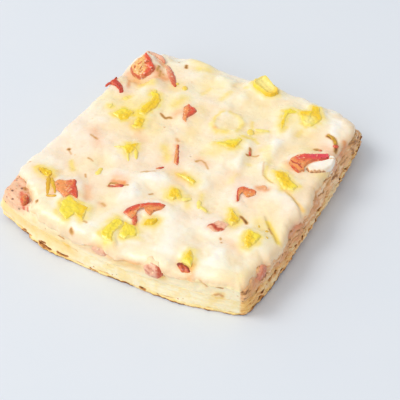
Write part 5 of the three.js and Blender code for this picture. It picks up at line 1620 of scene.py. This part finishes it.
# each is a path in mm with width, thickness and marks
shreds = {
    "yellowShreds": {"kind": "yellow_pepper", "lines": [
        ([(-27.2, -24.8), (-26.6, -27.6), (-26.4, -30)], 2.4, 1.0,
         {"tone": (0.6, 0.5), "film": (0.4, 0.6)}),
        ([(12, -25.6), (13.6, -23.6), (15, -22.4)], 2.2, 0.6, {"tone": (0.1, 0.1), "film": (0.8, 0.8)}),
        ([(17.6, -21.4), (19.4, -24.4), (20.2, -26)], 2.0, 0.7,
         {"tone": (0.3, 0.5), "film": (0.7, 0.5)}),
        ([(19.4, -24.6), (21.6, -24.9), (23.9, -25.8)], 1.6, 0.7,
         {"tone": (0.4, 0.3), "film": (0.5, 0.6)}),
        ([(-24.7, 37.6), (-22.4, 34.4)], 2.8, 1.3, {"tone": (1, 0.8), "film": (0.2, 0.3)}),
        ([(-29.4, 38), (-27.6, 36.8)], 1.8, 1.0, {"tone": (1, 1), "film": (0.2, 0.3)}),
        ([(14.4, 27.4), (15.4, 25.8), (16.6, 23.6)], 3.0, 1.2, {"tone": (1, 0.7), "film": (0.3, 0.5)}),
        ([(16.2, 28.2), (19.4, 28.8), (22.2, 30.4)], 1.9, 0.6,
         {"tone": (0.3, 0.1), "film": (0.7, 0.9)}),
        ([(-42.6, -40.4), (-40.2, -44.2), (-37.8, -47.6), (-36.2, -50.4)], 2.4, 1.5,
         {"tone": (1, 1), "film": (0, 0.1), "charAndShade": (0.35, 0.6)}),
        ([(-41, -41), (-38.4, -43.6), (-35.6, -46.2), (-33.4, -48.6)], 1.9, 1.4,
         {"tone": (1, 1), "film": (0, 0.1), "charAndShade": (0.3, 0.5)}),
        ([(-20.8, -8.6), (-19, -11.2), (-16.8, -14.4)], 1.7, 0.9,
         {"tone": (0.8, 0.5), "film": (0.2, 0.5)}),
        ([(-22.4, -12), (-21, -14.4), (-19, -17)], 1.2, 0.7, {"tone": (0.6, 0.4), "film": (0.3, 0.7)}),
        ([(-25.1, -10.3), (-27.6, -11.4), (-29.8, -12.3)], 0.9, 0.5,
         {"tone": (0.5, 0.3), "film": (0.4, 0.8)}),
        ([(-46, 9.2), (-44.4, 9.4)], 2.4, 0.6, {"tone": (0.6, 0.6), "film": (0.7, 0.7)}),
        ([(-43.1, 16.2), (-42.3, 18.6)], 2.2, 0.6, {"tone": (0.8, 0.8), "film": (0.7, 0.7)}),
        ([(-37.6, -50.4), (-35, -50), (-32.4, -48.8)], 1.8, 1.6,
         {"tone": (1, 1), "film": (0, 0), "charAndShade": (0.5, 0.4)}),
        ([(44.6, 40.6), (47.4, 40), (49.8, 38), (51, 35.6)], 1.6, 1.1,
         {"tone": (0.6, 1), "film": (0.1, 0), "charAndShade": (0.6, 0.8)}),
        ([(-34.6, 26.2), (-32.4, 26.8)], 3.0, 0.8, {"tone": (0.7, 0.7), "film": (0.6, 0.3)}),
    ]},
    "greenShreds": {"kind": "yellow_pepper", "lines": [
        ([(45, -21.4), (46, -23)], 1.0, 0.5, {"tone": (0, 0), "charAndShade": (0.35, 0.35)}),
        ([(48.6, -22.6), (50.2, -23.6)], 1.3, 0.5, {"tone": (0, 0), "charAndShade": (0.35, 0.35)}),
        ([(50.8, -26.6), (52.2, -27.3)], 1.2, 0.5, {"tone": (0, 0), "charAndShade": (0.3, 0.3)}),
    ]},
    "redShreds": {"kind": "red_pepper", "lines": [
        ([(-17, -30.4), (-14.8, -31), (-12.4, -30.4)], 2.6, 1.2,
         {"tone": (0.2, 1), "film": (0.2, 0), "charAndShade": (0, 0.7)}),
        ([(-18.8, -32.9), (-17.2, -32), (-15, -31.8)], 0.8, 0.7,
         {"tone": (0.6, 0.8), "charAndShade": (0.7, 0.5), "film": (0.2, 0.1)}),
        ([(-4.8, -11.6), (-6, -13.8), (-7.2, -15)], 1.4, 0.8,
         {"tone": (1, 0.5), "charAndShade": (0.6, 0.1), "film": (0.1, 0.4)}),
        ([(50.6, 36.8), (51.4, 34.6)], 2.0, 1.2,
         {"tone": (0.2, 0.9), "charAndShade": (0.5, 0.4), "film": (0.1, 0)}),
        ([(45.4, 30.6), (47.4, 30.2)], 1.4, 0.7,
         {"tone": (0.4, 0.6), "film": (0.5, 0.2), "charAndShade": (0.2, 0.4)}),
        ([(21, 15.2), (21.9, 13), (22.8, 12.2)], 1.2, 0.7,
         {"tone": (0.2, 0.5), "film": (0.5, 0.3), "charAndShade": (0.1, 0.5)}),
        ([(34.8, -4.4), (36.9, -1.4), (38.4, -3.4)], 1.6, 0.8,
         {"tone": (0.0, 0.2), "film": (0.5, 0.5)}),
        ([(0.9, -42.4), (2, -44.8), (3.2, -47)], 1.9, 1.1,
         {"tone": (0.6, 0.1), "charAndShade": (0.4, 0.3), "film": (0, 0.1)}),
        ([(-53.2, 23.4), (-55, 21.6), (-55.2, 19.4)], 1.4, 1.0,
         {"tone": (1, 1), "charAndShade": (0.5, 0.3), "film": (0, 0.2)}),
    ]},
}


def makeShreds():
    for name, group in shreds.items():
        shapes = [bandSurface(path, 0, width, thickness, 10, **marks)
                  for path, width, thickness, marks in group["lines"]]
        points, faces, marks = joinShapes(shapes)
        makePiece(name, points, faces, bitMaterials[group["kind"]], (), marks)


makeShreds()
print("shreds made")


studio = {
    "floor": (222, 229, 238), "floorShade": (220, 228, 238), "floorSize": 3.0, "lampDistance": 3.0,
    "keyFrom": (-0.86, -0.51, 1.2), "keySize": 1.3, "keyPower": 38.0,
    "fillFrom": (-0.15, -1.2, 0.75), "fillSize": 2.2, "fillPower": 22.0,
    "sky": (252, 250, 249), "skyStrength": 0.66,
}
cameraPlace = {
    "target": (8.557, -5.2, 0.0), "azimuth": 30.5, "elevation": 44.5, "distance": 482.0,
    "fieldOfView": 20.0,
}


def makeStudio():
    floorMaterial, tree, shader = newMaterial("paleFloor",
                                              {"Roughness": 0.6, "Specular IOR Level": 0.2})
    cloud = placeGroup(tree, mottle, {"Cell": 60.0, "Low": 0.2, "High": 0.8,
                                      "Pale": linear(*studio["floor"]),
                                      "Deep": linear(*studio["floorShade"])})
    tree.links.new(cloud.outputs["Color"], shader.inputs["Base Color"])
    half = studio["floorSize"] / 2
    mesh = bpy.data.meshes.new("floor")
    mesh.from_pydata([(-half, -half, 0), (half, -half, 0), (half, half, 0), (-half, half, 0)], [],
                     [(0, 1, 2, 3)])
    mesh.materials.append(floorMaterial)
    floor = bpy.data.objects.new("floor", mesh)
    bpy.context.scene.collection.objects.link(floor)
    world = bpy.data.worlds.new("studioSky")
    world.use_nodes = True
    background = world.node_tree.nodes["Background"]
    background.inputs["Color"].default_value = linear(*studio["sky"])
    background.inputs["Strength"].default_value = studio["skyStrength"]
    bpy.context.scene.world = world
    for name, color in (("key", (1, 0.97, 0.92)), ("fill", (1, 0.98, 0.95))):
        data = bpy.data.lights.new(name + "Light", "AREA")
        data.size, data.energy, data.color = studio[name + "Size"], studio[name + "Power"], color
        lamp = bpy.data.objects.new(name + "Light", data)
        lamp.location = Vector(studio[name + "From"]).normalized() * studio["lampDistance"]
        lamp.rotation_euler = (-lamp.location).to_track_quat("-Z", "Y").to_euler()
        bpy.context.scene.collection.objects.link(lamp)


def makeCamera():
    place = cameraPlace
    turn, rise = math.radians(place["azimuth"]), math.radians(place["elevation"])
    away = Vector((math.sin(turn) * math.cos(rise), -math.cos(turn) * math.cos(rise), math.sin(rise)))
    data = bpy.data.cameras.new("camera")
    data.sensor_fit = "HORIZONTAL"
    data.angle = math.radians(place["fieldOfView"])
    data.clip_start, data.clip_end = 0.01, 10
    camera = bpy.data.objects.new("camera", data)
    camera.location = (Vector(place["target"]) + away * place["distance"]) * mm
    camera.rotation_euler = (-away).to_track_quat("-Z", "Y").to_euler()
    bpy.context.scene.collection.objects.link(camera)
    bpy.context.scene.camera = camera


makeStudio()
makeCamera()
bpy.context.scene.view_settings.view_transform = "Standard"
print("studio made")
